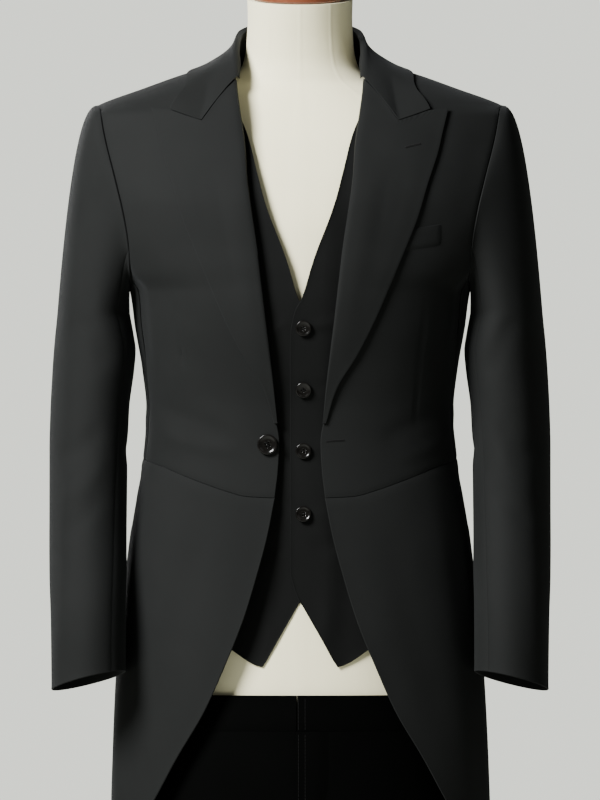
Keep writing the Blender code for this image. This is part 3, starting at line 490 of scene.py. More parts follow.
ABOVE_BACK_SEAM = [level for level in SHOULDER_LEVELS if level > BACK_SEAM_TOP + 0.005]
MEAN_GIRTH = 0.16

body = section(BODY)


def on_body(grid):
    return offset(body, grid[..., 0], grid[..., 1], grid[..., 2])


def front_edge(height):
    """The angle of the coat's front edge: the roll line, the cutaway front, then the tail's edge."""
    above = np.maximum(height, CUTAWAY_FOOT)
    upper = angle_of(BODY, FRONT_EDGE("x", above), above)
    return np.where(height >= CUTAWAY_FOOT, upper, np.radians(TAIL_EDGE("degrees", height)))


def armhole_angle(height, column):
    angle = angle_of(BODY, ARMHOLE(column, height), height)
    return angle if column == "front_x" else np.pi - angle


def armhole(turn):
    """A point of the armhole, as angle and height, by its turn: 0 at the top, a quarter at the back."""
    middle, half = (SHOULDER_POINT + UNDERARM) / 2, (SHOULDER_POINT - UNDERARM) / 2
    height = middle + half * np.cos(turn)
    front, back = armhole_angle(height, "front_x"), armhole_angle(height, "back_x")
    return pairs(np.where(np.sin(turn) > 0, back, front), height)


def waist_seam(angle):
    return WAIST_SEAM("height", np.degrees(angle))


def side_angle(height):
    """The outer edge of the forepart: side seam, front of the armhole, then the shoulder seam."""
    seam = np.radians(SIDE_SEAM("degrees", height))
    hole = armhole_angle(np.clip(height, UNDERARM, SHOULDER_POINT), "front_x")
    return np.where(height <= SIDE_SEAM_TOP, seam, np.where(height < SHOULDER_POINT, hole, np.pi / 2))


def back_angle(height):
    """The outer edge of the back: pleat and side-back seam, back of the armhole, then the shoulder seam."""
    seam = np.radians(BACK_SEAM("degrees", height))
    hole = armhole_angle(np.clip(height, UNDERARM, SHOULDER_POINT), "back_x")
    return np.where(height <= BACK_SEAM_TOP, seam, np.where(height < SHOULDER_POINT, hole, np.pi / 2))


def edge_up(angle, heights, set_in):
    """An edge that runs up the body, moved round by a seam's gap or more."""
    heights = np.asarray(heights, float)
    return pairs(along(body, angle(heights), heights, set_in), heights)


def girth_folds(grid, rows):
    """Folds on the body, placed by degrees round it and height."""
    return folds(grid[..., 0] * MEAN_GIRTH, grid[..., 1], rows, np.radians(1) * MEAN_GIRTH)


def coat_panel(node, grid, sides, fold_rows, step=CLOTH_STEP):
    """A panel of the coat on both sides of the body, each side with its own folds."""
    grid = finer(grid, on_body, step)
    edges = beside(on_body(grid), **sides)
    for side in ("L", "R"):
        placed = grid.copy()
        placed[..., 2] += edges + girth_folds(grid, fold_rows[side])
        face = on_body(placed)
        cloth(f"{node}_{side}", for_side(face, side), COAT_CLOTH, COAT_WOOL)


# Coat foreparts: the two front panels, cut from shoulder to waist seam, each shaped at the waist by a sewn
# dart and smooth over the chest canvas. They hang from the shoulder seams and end just inside the fold of the
# lapel.
DART_STEP = 0.003
LAPEL_FOLD = 0.0048
BREAK = 1.335
SEAM_ROWS = 9
side_seam_heights = np.linspace(1.2925, SIDE_SEAM_TOP, SEAM_ROWS)
back_seam_heights = np.linspace(1.3065, BACK_SEAM_TOP, SEAM_ROWS)
front_heights = [*np.linspace(1.2545, SIDE_SEAM_TOP, SEAM_ROWS), *SHOULDER_LEVELS]
side_heights = [*side_seam_heights, *SHOULDER_LEVELS]
fold_room = LAPEL_FOLD * smooth_step((np.array(front_heights) - BREAK + 0.017) / 0.045)
forepart_left = edge_up(front_edge, front_heights, fold_room)
forepart_right = edge_up(side_angle, side_heights, -SEAM)
across = np.linspace(forepart_left[0, 0], forepart_right[0, 0], 9)
forepart_bottom = pairs(across, waist_seam(across) + SEAM)
forepart_left[0, 1], forepart_right[0, 1] = forepart_bottom[0, 1], forepart_bottom[-1, 1]
forepart_top = np.linspace(forepart_left[-1], forepart_right[-1], 9)
forepart = patch(forepart_left, forepart_right, forepart_bottom, forepart_top)
FOREPART_FOLDS = {
    "L": (
        (46, 1.330, 45, 1.450, 0.0022, -0.0009, 0.0),
        (68, 1.535, 74, 1.420, 0.016, -0.0022, 0.004),
        (60, 1.520, 64, 1.400, 0.014, 0.0014, 0.003),
        (62, 1.345, 30, 1.318, 0.011, -0.0011, 0.004),
        (70, 1.325, 36, 1.296, 0.009, 0.0009, -0.003),
        (52, 1.660, 46, 1.560, 0.020, -0.0013, 0.0),
    ),
    "R": (
        (44.8, 1.400, 44.6, 1.461, 0.0021, -0.0019, 0.0),
        (66, 1.545, 73, 1.405, 0.018, -0.0025, 0.005),
        (58, 1.510, 62, 1.395, 0.013, 0.0013, 0.002),
        (64, 1.350, 26, 1.322, 0.012, -0.0013, 0.005),
        (58, 1.322, 22, 1.305, 0.008, 0.0008, -0.002),
        (50, 1.655, 44, 1.545, 0.022, -0.0012, 0.0),
    ),
}
sides = {"left": 0.0, "right": SEAM_SINK, "bottom": SEAM_SINK, "top": SEAM_SINK}
coat_panel("coat_forepart", with_rise(forepart), sides, FOREPART_FOLDS, DART_STEP)

# Coat sidebodies: the narrow panels under the arms, sewn to foreparts and backs and pressed flat. A little
# slack gathers under each armhole and at the waist.
SIDEBODY_COLUMNS = 16
sidebody_left = edge_up(side_angle, side_seam_heights, SEAM)
sidebody_right = edge_up(back_angle, back_seam_heights, -SEAM)
across = np.linspace(sidebody_left[0, 0], sidebody_right[0, 0], SIDEBODY_COLUMNS)
sidebody_bottom = pairs(across, waist_seam(across) + SEAM)
sidebody_left[0, 1], sidebody_right[0, 1] = sidebody_bottom[0, 1], sidebody_bottom[-1, 1]
arc_half = (SHOULDER_POINT - UNDERARM) / 2
arc_middle = UNDERARM + arc_half
front_turn = 2 * np.pi - np.arccos((SIDE_SEAM_TOP - arc_middle) / arc_half)
back_turn = np.arccos((BACK_SEAM_TOP - arc_middle) / arc_half)
sidebody_top = armhole(np.linspace(front_turn, back_turn, SIDEBODY_COLUMNS))
sidebody_top[0], sidebody_top[-1] = sidebody_left[-1], sidebody_right[-1]
sidebody = patch(sidebody_left, sidebody_right, sidebody_bottom, sidebody_top)
SIDEBODY_FOLDS = {
    "L": (
        (88, 1.320, 96, 1.440, 0.012, -0.0014, 0.003),
        (118, 1.345, 126, 1.480, 0.015, -0.0018, 0.0),
        (80, 1.345, 112, 1.352, 0.009, 0.0009, 0.002),
    ),
    "R": (
        (92, 1.315, 98, 1.455, 0.013, -0.0016, 0.002),
        (114, 1.350, 122, 1.470, 0.013, -0.0015, 0.003),
        (84, 1.338, 120, 1.350, 0.010, 0.0010, 0.0),
    ),
}
seams_round = {"left": SEAM_SINK, "right": SEAM_SINK, "bottom": SEAM_SINK, "top": SEAM_SINK}
coat_panel("coat_sidebody", with_rise(sidebody), seams_round, SIDEBODY_FOLDS)

# Coat backs: shoulder to tail in one piece each, joined down the middle to the vent. Below the waist they lap
# over the skirts as side pleats, and the left over the right at the vent.
COAT_HEM = 0.705
PLEAT_TOP = 1.297
VENT_TOP = 1.272
VENT_LAP = 0.022
VENT_UNDER = 0.004
LAP_RISE = 0.0028
back_heights = np.array(
    [*np.linspace(COAT_HEM, 1.21, 8), 1.255, VENT_TOP, PLEAT_TOP, *back_seam_heights, *ABOVE_BACK_SEAM]
)
below_waist = smooth_step((back_seam_heights[0] - back_heights) / 0.0095)
in_vent = smooth_step((VENT_TOP - back_heights) / 0.015)
lifted = smooth_step((back_seam_heights[0] - back_heights) / 0.03)
BACK_FOLDS = {
    "L": (
        (130, 1.610, 146, 1.500, 0.018, -0.0020, 0.004),
        (150, 1.420, 176, 1.372, 0.012, -0.0012, 0.003),
        (152, 1.355, 178, 1.332, 0.009, 0.0010, 0.0),
        (168, 0.760, 171, 1.120, 0.012, 0.0022, 0.003),
        (162, 0.720, 164, 1.000, 0.010, -0.0020, 0.0),
    ),
    "R": (
        (126, 1.600, 143, 1.505, 0.020, -0.0022, 0.003),
        (148, 1.410, 174, 1.378, 0.013, -0.0013, 0.002),
        (156, 1.350, 179, 1.338, 0.008, 0.0009, 0.0),
        (166, 0.740, 170, 1.060, 0.014, 0.0024, 0.002),
    ),
}
for side in ("L", "R"):
    vent = in_vent * (VENT_UNDER if side == "L" else VENT_LAP)
    left = edge_up(back_angle, back_heights, SEAM)
    right = pairs(along(body, np.pi, back_heights, vent - SEAM), back_heights)
    panel = between(left, right, 6)
    rise = np.zeros(panel.shape[:2])
    rise[:, :2] = (LAP_RISE * below_waist)[:, None]
    rise[:, 2] = LAP_RISE / 2 * below_waist
    if side == "L":
        rise[:, 4:] = (LAP_RISE * lifted)[:, None]
        rise[:, 3] = LAP_RISE * 0.7 * lifted
    grid = finer(with_rise(panel, rise), on_body)
    sewn = SEAM_SINK * smooth_step((grid[..., 1] - 1.26) / 0.03)
    edges = beside(on_body(grid), left=sewn, right=sewn, top=SEAM_SINK)
    grid[..., 2] += edges + girth_folds(grid, BACK_FOLDS[side])
    cloth(f"coat_back_{side}", for_side(on_body(grid), side), COAT_CLOTH, COAT_WOOL)

# Coat skirts: sewn on below the waist seam and cut away from the front to the tails. They flare a little over
# the hips, where long soft folds fall from the seam to the hem.
skirt_front = [COAT_HEM, 0.711, 0.73, 0.77, 0.82, 0.87, 0.92, 0.97, 1.02, 1.07, 1.12, 1.17, 1.212, 1.2525]
skirt_back = [*np.linspace(COAT_HEM, 1.225, 11), 1.262, 1.290, 1.3055]
PLEAT_LAP = 0.010
skirt_lap = [PLEAT_LAP] * 12 + [-2 * SEAM] * 2
skirt_left = edge_up(front_edge, skirt_front, 0.0)
skirt_right = edge_up(back_angle, skirt_back, skirt_lap)
across = np.array([*forepart_bottom[:, 0], *sidebody_bottom[2:-1:3, 0], skirt_right[-1, 0]])
skirt_top = pairs(across, waist_seam(across) - 2 * SEAM)
skirt_left[-1, 1], skirt_right[-1, 1] = skirt_top[0, 1], skirt_top[-1, 1]
skirt = patch(skirt_left, skirt_right, np.linspace(skirt_left[0], skirt_right[0], len(across)), skirt_top)
SKIRT_FOLDS = {
    "L": (
        (72, 1.230, 84, 0.860, 0.020, 0.0034, 0.006),
        (90, 1.282, 94, 1.228, 0.016, -0.0032, 0.0),
        (104, 1.200, 110, 0.790, 0.018, -0.0034, 0.0),
        (119, 1.200, 127, 0.760, 0.017, 0.0032, -0.004),
        (136, 1.200, 142, 0.740, 0.014, -0.0026, 0.0),
        (30, 1.215, 44, 1.010, 0.018, -0.0012, 0.004),
        (52, 1.236, 60, 0.960, 0.022, 0.0016, 0.003),
    ),
    "R": (
        (68, 1.225, 80, 0.880, 0.022, 0.0030, 0.004),
        (91, 1.280, 94, 1.226, 0.016, -0.0032, 0.0),
        (103, 1.200, 108, 0.800, 0.017, -0.0036, 0.003),
        (117, 1.205, 124, 0.770, 0.018, 0.0030, 0.0),
        (130, 1.210, 139, 0.750, 0.015, -0.0028, 0.003),
        (34, 1.220, 47, 1.000, 0.017, -0.0014, 0.003),
        (50, 1.230, 58, 0.980, 0.020, 0.0014, 0.0),
    ),
}
sides = {"left": EDGE_ROLL, "right": 0.0, "bottom": EDGE_ROLL, "top": SEAM_SINK}
coat_panel("coat_skirt", with_rise(skirt), sides, SKIRT_FOLDS)

# Coat sleeves: two-piece tubes set into the armholes with a smooth full head, bent forward below the elbow.
# The two seams run down the back and the front of the arm, and soft hollows lie at the elbow.
SLEEVE = Table(
    "height outer_x inner_x middle half_depth turn",
    (1.040, 0.2715, 0.1905, -0.0765, 0.0500, 4),
    (1.085, 0.2720, 0.1905, -0.0720, 0.0510, 4),
    (1.129, 0.2728, 0.1905, -0.0640, 0.0530, 5),
    (1.173, 0.2745, 0.1898, -0.0500, 0.0555, 6),
    (1.217, 0.2750, 0.1901, -0.0350, 0.0580, 7),
    (1.261, 0.2750, 0.1900, -0.0230, 0.0600, 8),
    (1.305, 0.2750, 0.1896, -0.0140, 0.0620, 9),
    (1.349, 0.2739, 0.1883, -0.0090, 0.0640, 10),
    (1.393, 0.2717, 0.1828, -0.0060, 0.0660, 10),
    (1.415, 0.2702, 0.1810, -0.0050, 0.0670, 9),
    (1.430, 0.2690, 0.1830, -0.0040, 0.0680, 8),
    (1.455, 0.2668, 0.1872, -0.0020, 0.0690, 5),
)
CAP_FOOT = 1.455
ELBOW = 1.30
CUFF = 1.054
HIND_SEAM = np.radians(58)
FOREARM_SEAM = np.radians(-125)
SLEEVE_GIRTH = 0.048
SLEEVE_RADIUS = 0.055


def sleeve_tube(turn, height):
    """The sleeve below the armpit, by its turn: 0 outermost, a quarter at the back."""
    half = (SLEEVE("outer_x", height) - SLEEVE("inner_x", height)) / 2
    depth = SLEEVE("half_depth", height)
    lean = np.radians(SLEEVE("turn", height))
    aside, deep = half * np.cos(turn), depth * np.sin(turn)
    x = SLEEVE("inner_x", height) + half + aside * np.cos(lean) + deep * np.sin(lean)
    y = SLEEVE("middle", height) - aside * np.sin(lean) + deep * np.cos(lean)
    slant = smooth_step((ELBOW - height) / (ELBOW - CUFF))
    z = height + slant * (-0.0095 * np.cos(turn) - 0.0065 * np.sin(turn))
    return np.stack([x, y, z], axis=-1)


def sleeve(turn, up):
    """The whole sleeve: up is a height below the armpit, and past it 0 to 1 over the cap to the armhole."""
    turn, up = np.broadcast_arrays(turn, up)
    tube = sleeve_tube(turn, np.minimum(up, CAP_FOOT))
    rise = np.clip(up - CAP_FOOT, 0, 1)[..., None]
    edge = armhole(turn)
    top = body(edge[..., 0], edge[..., 1]) + np.array((0.0011, 0.0, 0.0))
    top[..., 2] += 0.0012 * (1 - np.cos(turn)) / 2
    top[..., 2] -= 0.0009 * (1 + np.cos(turn)) / 2
    drop = 1 - rise
    out = drop ** (0.39 + 0.35 * ((1 - np.cos(turn))[..., None] / 2) ** 0.75)
    cap = top + (tube - top) * np.concatenate([out, out, drop], axis=-1)
    return np.where(rise > 0, cap, tube)


SLEEVE_FOLDS = {
    "L": (
        (-95, 1.332, -42, 1.300, 0.011, -0.0018, 0.004),
        (-100, 1.300, -44, 1.262, 0.010, 0.0012, 0.003),
        (-110, 1.262, -55, 1.226, 0.010, -0.0014, 0.0),
        (-55, 1.420, -42, 1.080, 0.014, 0.0014, 0.005),
        (-24, 1.440, -30, 1.150, 0.018, -0.0010, 0.003),
        (45, 1.400, 62, 1.180, 0.014, -0.0016, 0.0),
        (150, 1.330, 210, 1.300, 0.010, -0.0020, 0.003),
        (-70, 1.452, -100, 1.390, 0.012, -0.0020, 0.0),
    ),
    "R": (
        (-92, 1.326, -40, 1.296, 0.012, -0.0019, 0.003),
        (-102, 1.292, -46, 1.250, 0.010, 0.0013, 0.004),
        (-98, 1.252, -50, 1.214, 0.010, -0.0012, 0.002),
        (-50, 1.410, -46, 1.100, 0.015, 0.0015, 0.004),
        (-22, 1.430, -27, 1.130, 0.018, -0.0011, 0.002),
        (40, 1.390, 58, 1.200, 0.015, -0.0015, 0.0),
        (160, 1.322, 215, 1.296, 0.011, -0.0018, 0.002),
        (-65, 1.455, -95, 1.400, 0.013, -0.0022, 0.0),
    ),
}
cap_share = 1 - (1 - np.linspace(0, 1, 26)[1:]) ** 1.7
sleeve_ups = np.concatenate([CUFF + EDGE_ROWS, np.linspace(1.063, CAP_FOOT, 62), CAP_FOOT + cap_share])
seam_turn = SEAM / SLEEVE_RADIUS
for node, start, end in (
    ("coat_top_sleeve", FOREARM_SEAM + seam_turn / 2, HIND_SEAM - seam_turn / 2),
    ("coat_under_sleeve", HIND_SEAM + seam_turn / 2, 2 * np.pi + FOREARM_SEAM - seam_turn / 2),
):
    turns, ups = np.meshgrid(stops(start, end, 26, EDGE_ROWS / SLEEVE_RADIUS), sleeve_ups)
    smooth = sleeve(turns, ups)
    fade = smooth_step((CAP_FOOT + 0.4 - ups) / 0.4)
    edges = beside(smooth, left=SEAM_SINK, right=SEAM_SINK, bottom=EDGE_ROLL)
    for side in ("L", "R"):
        below_cap = np.minimum(ups, CAP_FOOT)
        lift = folds(turns * SLEEVE_GIRTH, below_cap, SLEEVE_FOLDS[side], np.radians(1) * SLEEVE_GIRTH)
        across, up = np.gradient(smooth, axis=1), np.gradient(smooth, axis=0)
        face = smooth + unit(np.cross(across, up)) * (edges + fade * lift)[..., None]
        cloth(f"{node}_{side}", for_side(face, side), COAT_CLOTH, COAT_WOOL)

# Armhole tapes: a strip of the same cloth under each armhole seam. It is sewn in to keep the seam from
# stretching, and it closes the seam.
TAPE_HALF = 0.006
TAPE_UNDER = 0.0031
TAPE_CLOTH = 0.0008
tape_turns = np.linspace(0, 2 * np.pi, 121)
hole = armhole(tape_turns)
hole_angles = [armhole_angle(arc_middle, column) for column in ("front_x", "back_x")]
hole_middle = np.array((sum(hole_angles) / 2, arc_middle))
outward = (hole - hole_middle) * (MEAN_GIRTH, 1.0)
outward = unit(outward) / (MEAN_GIRTH, 1.0)
tape = np.stack([hole + outward * reach for reach in np.linspace(-TAPE_HALF / 2, TAPE_HALF, 4)])
tape_face = on_body(with_rise(tape, -TAPE_UNDER))


def taped(name, tape):
    """A pair of tapes under a seam of the coat, one on each side."""
    for side in ("L", "R"):
        face = for_side(tape, side)
        piece = shell(f"{name}_{side}", face, TAPE_CLOTH, COAT_WOOL)
        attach(piece, "root")


taped("armhole_tape", tape_face[:, ::-1])

# Lapels: the peaked fronts of the coat, turned back at the roll line and pressed. They lie over the foreparts
# from the gorge down to the foot of the roll.
FOLDED_CLOTH = 0.0014
FOLDED_STEP = 0.0026
LAPEL_EDGE = Table(
    "height x",
    (1.3350, 0.0280),
    (1.3430, 0.0290),
    (1.3534, 0.0318),
    (1.3738, 0.0405),
    (1.3974, 0.0543),
    (1.4180, 0.0670),
    (1.4535, 0.0836),
    (1.5030, 0.1045),
    (1.5600, 0.1276),
    (1.5943, 0.1380),
    (1.6246, 0.1482),
    (1.6580, 0.1562),
    (1.6768, 0.1611),
)
ROLL_TOP = 1.7115
SLIT_INNER = (0.1067, 1.6636)
SLIT_OUTER = (0.1408, 1.6745)
PEAK = (0.1611, 1.6768)
GORGE = (0.0895, 1.6868)
LAPEL_OUT = 0.0036
LAPEL_FOOT_OUT = 0.0022

lapel_rows = np.array([*np.linspace(BREAK, 1.64, 9), 1.675, 1.697, ROLL_TOP])
edge_rows = np.interp(lapel_rows, (BREAK, 1.64, ROLL_TOP), (BREAK, 1.632, PEAK[1]))
roll_in = 0.0015 * smooth_step((lapel_rows - BREAK) / 0.06) * smooth_step((1.62 - lapel_rows) / 0.10)
lapel_left = pairs(FRONT_EDGE("x", lapel_rows) + 0.0005 - roll_in, lapel_rows)
lapel_right = pairs(LAPEL_EDGE("x", edge_rows), edge_rows)
top_route = np.array([lapel_left[-1], GORGE, SLIT_INNER, SLIT_OUTER, PEAK])
lapel_across = np.array((0.0, 0.03, 0.12, 0.235, 0.36, 0.41, 0.42, 0.43, 0.48, 0.6, 0.785, 0.98, 1.0))
route_at = (0.0, 0.235, 0.42, 0.785, 1.0)
lapel_top = pairs(*(np.interp(lapel_across, route_at, top_route[:, axis]) for axis in (0, 1)))
plain = lapel_left[:, None] + (lapel_right - lapel_left)[:, None] * lapel_across[None, :, None]
pull = (((lapel_rows - BREAK) / (ROLL_TOP - BREAK)) ** 5)[:, None, None]
lapel = plain + pull * (lapel_top - plain[-1])
rolled = smooth_step((lapel_rows - BREAK) / 0.04)[:, None]
lapel_out = np.array((-0.0005, 0.0026, *[LAPEL_OUT] * 9, LAPEL_OUT - 0.0002, LAPEL_OUT - 0.0004))
lapel_out = LAPEL_FOOT_OUT + (lapel_out - LAPEL_FOOT_OUT) * rolled
lapel[:, 0, 0] += 0.0016 * rolled[:, 0]


def on_front(grid):
    """Points on the front of the coat by distance from the centre line, height and how far out."""
    return offset(body, angle_of(BODY, grid[..., 0], grid[..., 1]), grid[..., 1], grid[..., 2])


lapel_grid = finer(with_rise(lapel, lapel_out), on_front, FOLDED_STEP)
LAPEL_HOLLOW = 0.0004
LAPEL_FOLDS = {
    "L": (
        (0.045, 1.420, 0.075, 1.600, 0.016, 0.0012, 0.004),
        (0.062, 1.455, 0.105, 1.610, 0.014, -0.0008, 0.0),
    ),
    "R": (
        (0.043, 1.410, 0.070, 1.590, 0.015, 0.0013, 0.003),
        (0.066, 1.470, 0.102, 1.600, 0.015, -0.0009, 0.002),
    ),
}
for side in ("L", "R"):
    placed = lapel_grid.copy()
    placed[..., 2] += beside(on_front(lapel_grid), right=EDGE_ROLL, top=EDGE_ROLL, width=0.004)
    lift = folds(lapel_grid[..., 0], lapel_grid[..., 1], LAPEL_FOLDS[side])
    placed[..., 2] += np.maximum(lift, -LAPEL_HOLLOW)
    face, below = for_side(on_front(placed), side), "coat_forepart_" + side
    cloth(f"coat_lapel_{side}", face, FOLDED_CLOTH, COAT_WOOL)

# Collar: a stand sewn up from the neck seam and folded over into a fall, which meets the lapels at the gorge
# and leaves a slit beside each peak. A tape lies under each gorge seam.
COLLAR = Table(
    "station fold_x fold_y fold_z start_degrees start_height edge_degrees edge_height",
    (0, 0.0000, 0.0745, 1.7790, 180.0, 1.7420, 180.0, 1.7270),
    (1, 0.0320, 0.0700, 1.7780, 160.0, 1.7420, 160.0, 1.7268),
    (2, 0.0560, 0.0510, 1.7725, 138.0, 1.7420, 138.0, 1.7262),
    (3, 0.0670, 0.0220, 1.7650, 113.0, 1.7420, 113.0, 1.7250),
    (4, 0.0695, -0.0070, 1.7570, 82.0, 1.7415, 87.0, 1.7222),
    (5, 0.0700, -0.0300, 1.7440, 52.0, 1.7330, 55.0, 1.7105),
    (6, 0.0690, -0.0465, 1.7285, 36.5, 1.7220, 42.0, 1.6955),
    (7, 0.0682, -0.0600, 1.7140, 27.8, 1.7115, 36.2, 1.6768),
)
COLLAR_OUT = 0.0013
COLLAR_CLOTH = 0.0012
FALL_SHARES = (0.10, 0.20, 0.36, 0.50, 0.55, 0.56, 0.57, 0.62, 0.78, 0.97, 1.0)
COLLAR_STATIONS = (0, 1, 2, 3, 4, 4.6, 5.2, 5.8, 6.4, 6.9, 7)
GORGE_AT = (0.0, 0.28, 0.56, 1.0)
GORGE_ROUTE = np.array([(0.0687, 1.7121), (0.0897, 1.6871), (0.1069, 1.6641), (0.1411, 1.6758)])


def collar_section(station):
    """One section of the collar, from the foot of its stand over the fold to the edge of its fall."""
    fold = np.array([COLLAR(column, station) for column in ("fold_x", "fold_y", "fold_z")])
    start = np.array((np.radians(COLLAR("start_degrees", station)), COLLAR("start_height", station)))
    edge = np.array((np.radians(COLLAR("edge_degrees", station)), COLLAR("edge_height", station)))
    out = COLLAR_OUT + (LAPEL_OUT - COLLAR_OUT) * smooth_step((station - 5) / 1.6)
    outward = unit(np.array((fold[0], fold[1] - 0.01, 0.0)))
    to_front = smooth_step((station - 4) / 1.6)
    stand = 1 - 0.6 * smooth_step((station - 5.6) / 1.4)
    back_foot = np.array((fold[0] * 1.04, fold[1] * 1.03, NECK_SEAM + 0.001))
    foot = back_foot * (1 - to_front) + (fold - (outward * 0.0042 + (0, 0, 0.004)) * stand) * to_front
    under_fold = fold - outward * 0.0035 * stand
    points = [foot, under_fold * 0.55 + foot * 0.45, under_fold - (0, 0, 0.003 * stand), fold]
    rise = fold + (outward * 0.0022 - (0, 0, 0.0022)) * stand - offset(body, *start, out)
    for share in FALL_SHARES:
        angle, height = start + (edge - start) * share
        drop = (1 - share) ** (1.3 + 0.7 * smooth_step(station / 4))
        points.append(offset(body, angle, height, out) + rise * drop)
    return np.array(points)


collar_half = np.array([collar_section(station) for station in COLLAR_STATIONS])
end_x, end_z = (np.interp(FALL_SHARES, GORGE_AT, GORGE_ROUTE[:, axis]) for axis in (0, 1))
collar_end = offset(body, angle_of(BODY, end_x, end_z), end_z, LAPEL_OUT)
for station, share in ((-4, 0.30), (-3, 0.64), (-2, 0.96)):
    collar_half[station, 4:] += share * (collar_end - collar_half[-1, 4:])
collar_half[-1, 4:] = collar_end
collar_grid = np.concatenate([collar_half[:0:-1] * (-1, 1, 1), collar_half]).transpose(1, 0, 2)[::-1]
collar_face = finer(collar_grid, lambda grid: grid, FOLDED_STEP)
cloth("coat_collar", collar_face, COLLAR_CLOTH, COAT_WOOL)

gorge_up = np.linspace(0, 1, 15)
gorge_route = np.transpose((SLIT_INNER, GORGE, (0.0745, 1.7050)))
gorge_line = pairs(*(np.interp(gorge_up, (0, 0.5, 1), axis) for axis in gorge_route))
gorge_tape = gorge_line[:, None] + np.array((0.0034, 0.0027)) * np.linspace(-1, 1, 4)[None, :, None]
gorge_out = LAPEL_OUT - 0.0006 - 0.0014 * smooth_step((gorge_up - 0.6) / 0.4)
taped("gorge_tape", on_front(with_rise(gorge_tape, gorge_out[:, None])))

# Chest welt: the narrow band of the breast pocket, a folded strip of the coat's cloth. It is sewn at a slant
# on the left chest and pressed flat.
welt_x = np.linspace(0.088, 0.154, 6)
welt_slope = (welt_x - 0.120) * 0.16
welt_low, welt_high = pairs(welt_x, 1.523 + welt_slope), pairs(welt_x, 1.546 + welt_slope)
welt_left, welt_right = (np.linspace(welt_low[end], welt_high[end], 3) for end in (0, -1))
welt = patch(welt_left, welt_right, welt_low, welt_high)
welt_grid = finer(with_rise(welt, 0.0011), on_front, 0.004)
welt_grid[..., 2] += beside(on_front(welt_grid), left=-0.0009, right=-0.0009, bottom=-0.0010, top=-0.0002)
cloth("coat_chest_welt", on_front(welt_grid), 0.0008, COAT_WOOL)

# Coat buttons: polished black horn with a raised rim, four holes and black thread. One closes the front, two
# mark the waist at the back and four close each sleeve vent; all of them are sewn on.
COAT_BUTTON = 0.0225
WAISTCOAT_BUTTON = 0.0175
SLEEVE_BUTTON = 0.015
BUTTON_SIDES = 48


def horn():
    """Polished horn: near black, with faint brown streaks that are a little rougher than the rest."""
    material, tree, surface = new_material("polished_horn")
    place = shader(tree, "ShaderNodeTexCoord").outputs["Object"]
    streaks = texture(tree, "Noise", place, Scale=160.0, Detail=4.0, Distortion=2.5)
    near_black, brown = (0.0015, 0.0015, 0.0015), (0.0065, 0.0058, 0.0050)
    two_colours(tree, streaks, near_black, brown, surface.inputs["Base Color"])
    ranged(tree, streaks, 0.10, 0.26, surface.inputs["Roughness"])
    surface.inputs["Specular IOR Level"].default_value = 0.24
    return material


def thread_material(name, dark, light):
    """Twisted sewing thread."""
    material, tree, surface = new_material(name)
    place = shader(tree, "ShaderNodeTexCoord").outputs["Object"]
    twist = texture(tree, "Noise", place, Scale=2500.0, Detail=2.0)
    two_colours(tree, twist, (dark, dark, dark), (light, light, light), surface.inputs["Base Color"])
    surface.inputs["Roughness"].default_value = 0.75
    surface.inputs["Specular IOR Level"].default_value = 0.10
    return material


HORN = horn()
THREAD = thread_material("black_thread", 0.0020, 0.0045)
SILK_TWIST = thread_material("silk_twist", 0.0095, 0.0150)


def turned_points(profile, sides):
    """Rings about the Z axis from rows of (height, radius), counter-clockwise and listed from below."""
    turn = np.linspace(0, 2 * np.pi, sides, endpoint=False)
    height, radius = np.array(profile).T[..., None]
    return np.stack(np.broadcast_arrays(np.cos(turn) * radius, np.sin(turn) * radius, height), axis=-1)


def turned(name, rings, material, sharp_degrees=50):
    """A piece closed by flat ends, from rings of points listed from below."""
    rows, columns = rings.shape[:2]
    numbers = np.arange(rows * columns).reshape(rows, columns)
    numbers = np.concatenate([numbers, numbers[:, :1]], axis=1)
    faces = [tuple(numbers[0, :-1][::-1]), tuple(numbers[-1, :-1])]
    for row in range(rows - 1):
        faces += quads(numbers[row], numbers[row + 1])
    return add_mesh(name, rings.reshape(-1, 3), faces, material, None, sharp_degrees)


def button_mesh(diameter):
    """A button about its own Z axis, turned from horn and drilled with four holes."""
    radius, deep = diameter / 2, diameter * 0.16
    profile = [
        (0.0, radius * 0.70),
        (deep * 0.10, radius * 0.84),
        (deep * 0.40, radius * 0.96),
        (deep * 0.62, radius * 0.995),
        (deep * 0.86, radius * 0.975),
        (deep * 0.98, radius * 0.915),
        (deep * 1.00, radius * 0.86),
        (deep * 0.93, radius * 0.79),
        (deep * 0.76, radius * 0.70),
        (deep * 0.66, radius * 0.60),
        (deep * 0.62, radius * 0.40),
        (deep * 0.61, radius * 0.15),
    ]
    blank = turned("button_blank", turned_points(profile, BUTTON_SIDES), HORN, 60)
    spread, hole = diameter * 0.095, diameter * 0.050
    for number in range(4):
        turn = np.pi / 4 + number * np.pi / 2
        drill = turned("drill", turned_points([(-deep, hole), (deep * 2, hole)], 16), HORN)
        drill.location = (spread * np.cos(turn), spread * np.sin(turn), 0)
        cut = blank.modifiers.new("hole", "BOOLEAN")
        cut.operation, cut.solver, cut.object = "DIFFERENCE", "EXACT", drill
    drills = [modifier.object for modifier in blank.modifiers]
    bpy.context.view_layer.update()
    mesh = bpy.data.meshes.new_from_object(blank.evaluated_get(bpy.context.evaluated_depsgraph_get()))
    for drill in [*drills, blank]:
        bpy.data.objects.remove(drill)
    return mesh


BUTTON_MESHES = {size: button_mesh(size) for size in (COAT_BUTTON, WAISTCOAT_BUTTON, SLEEVE_BUTTON)}


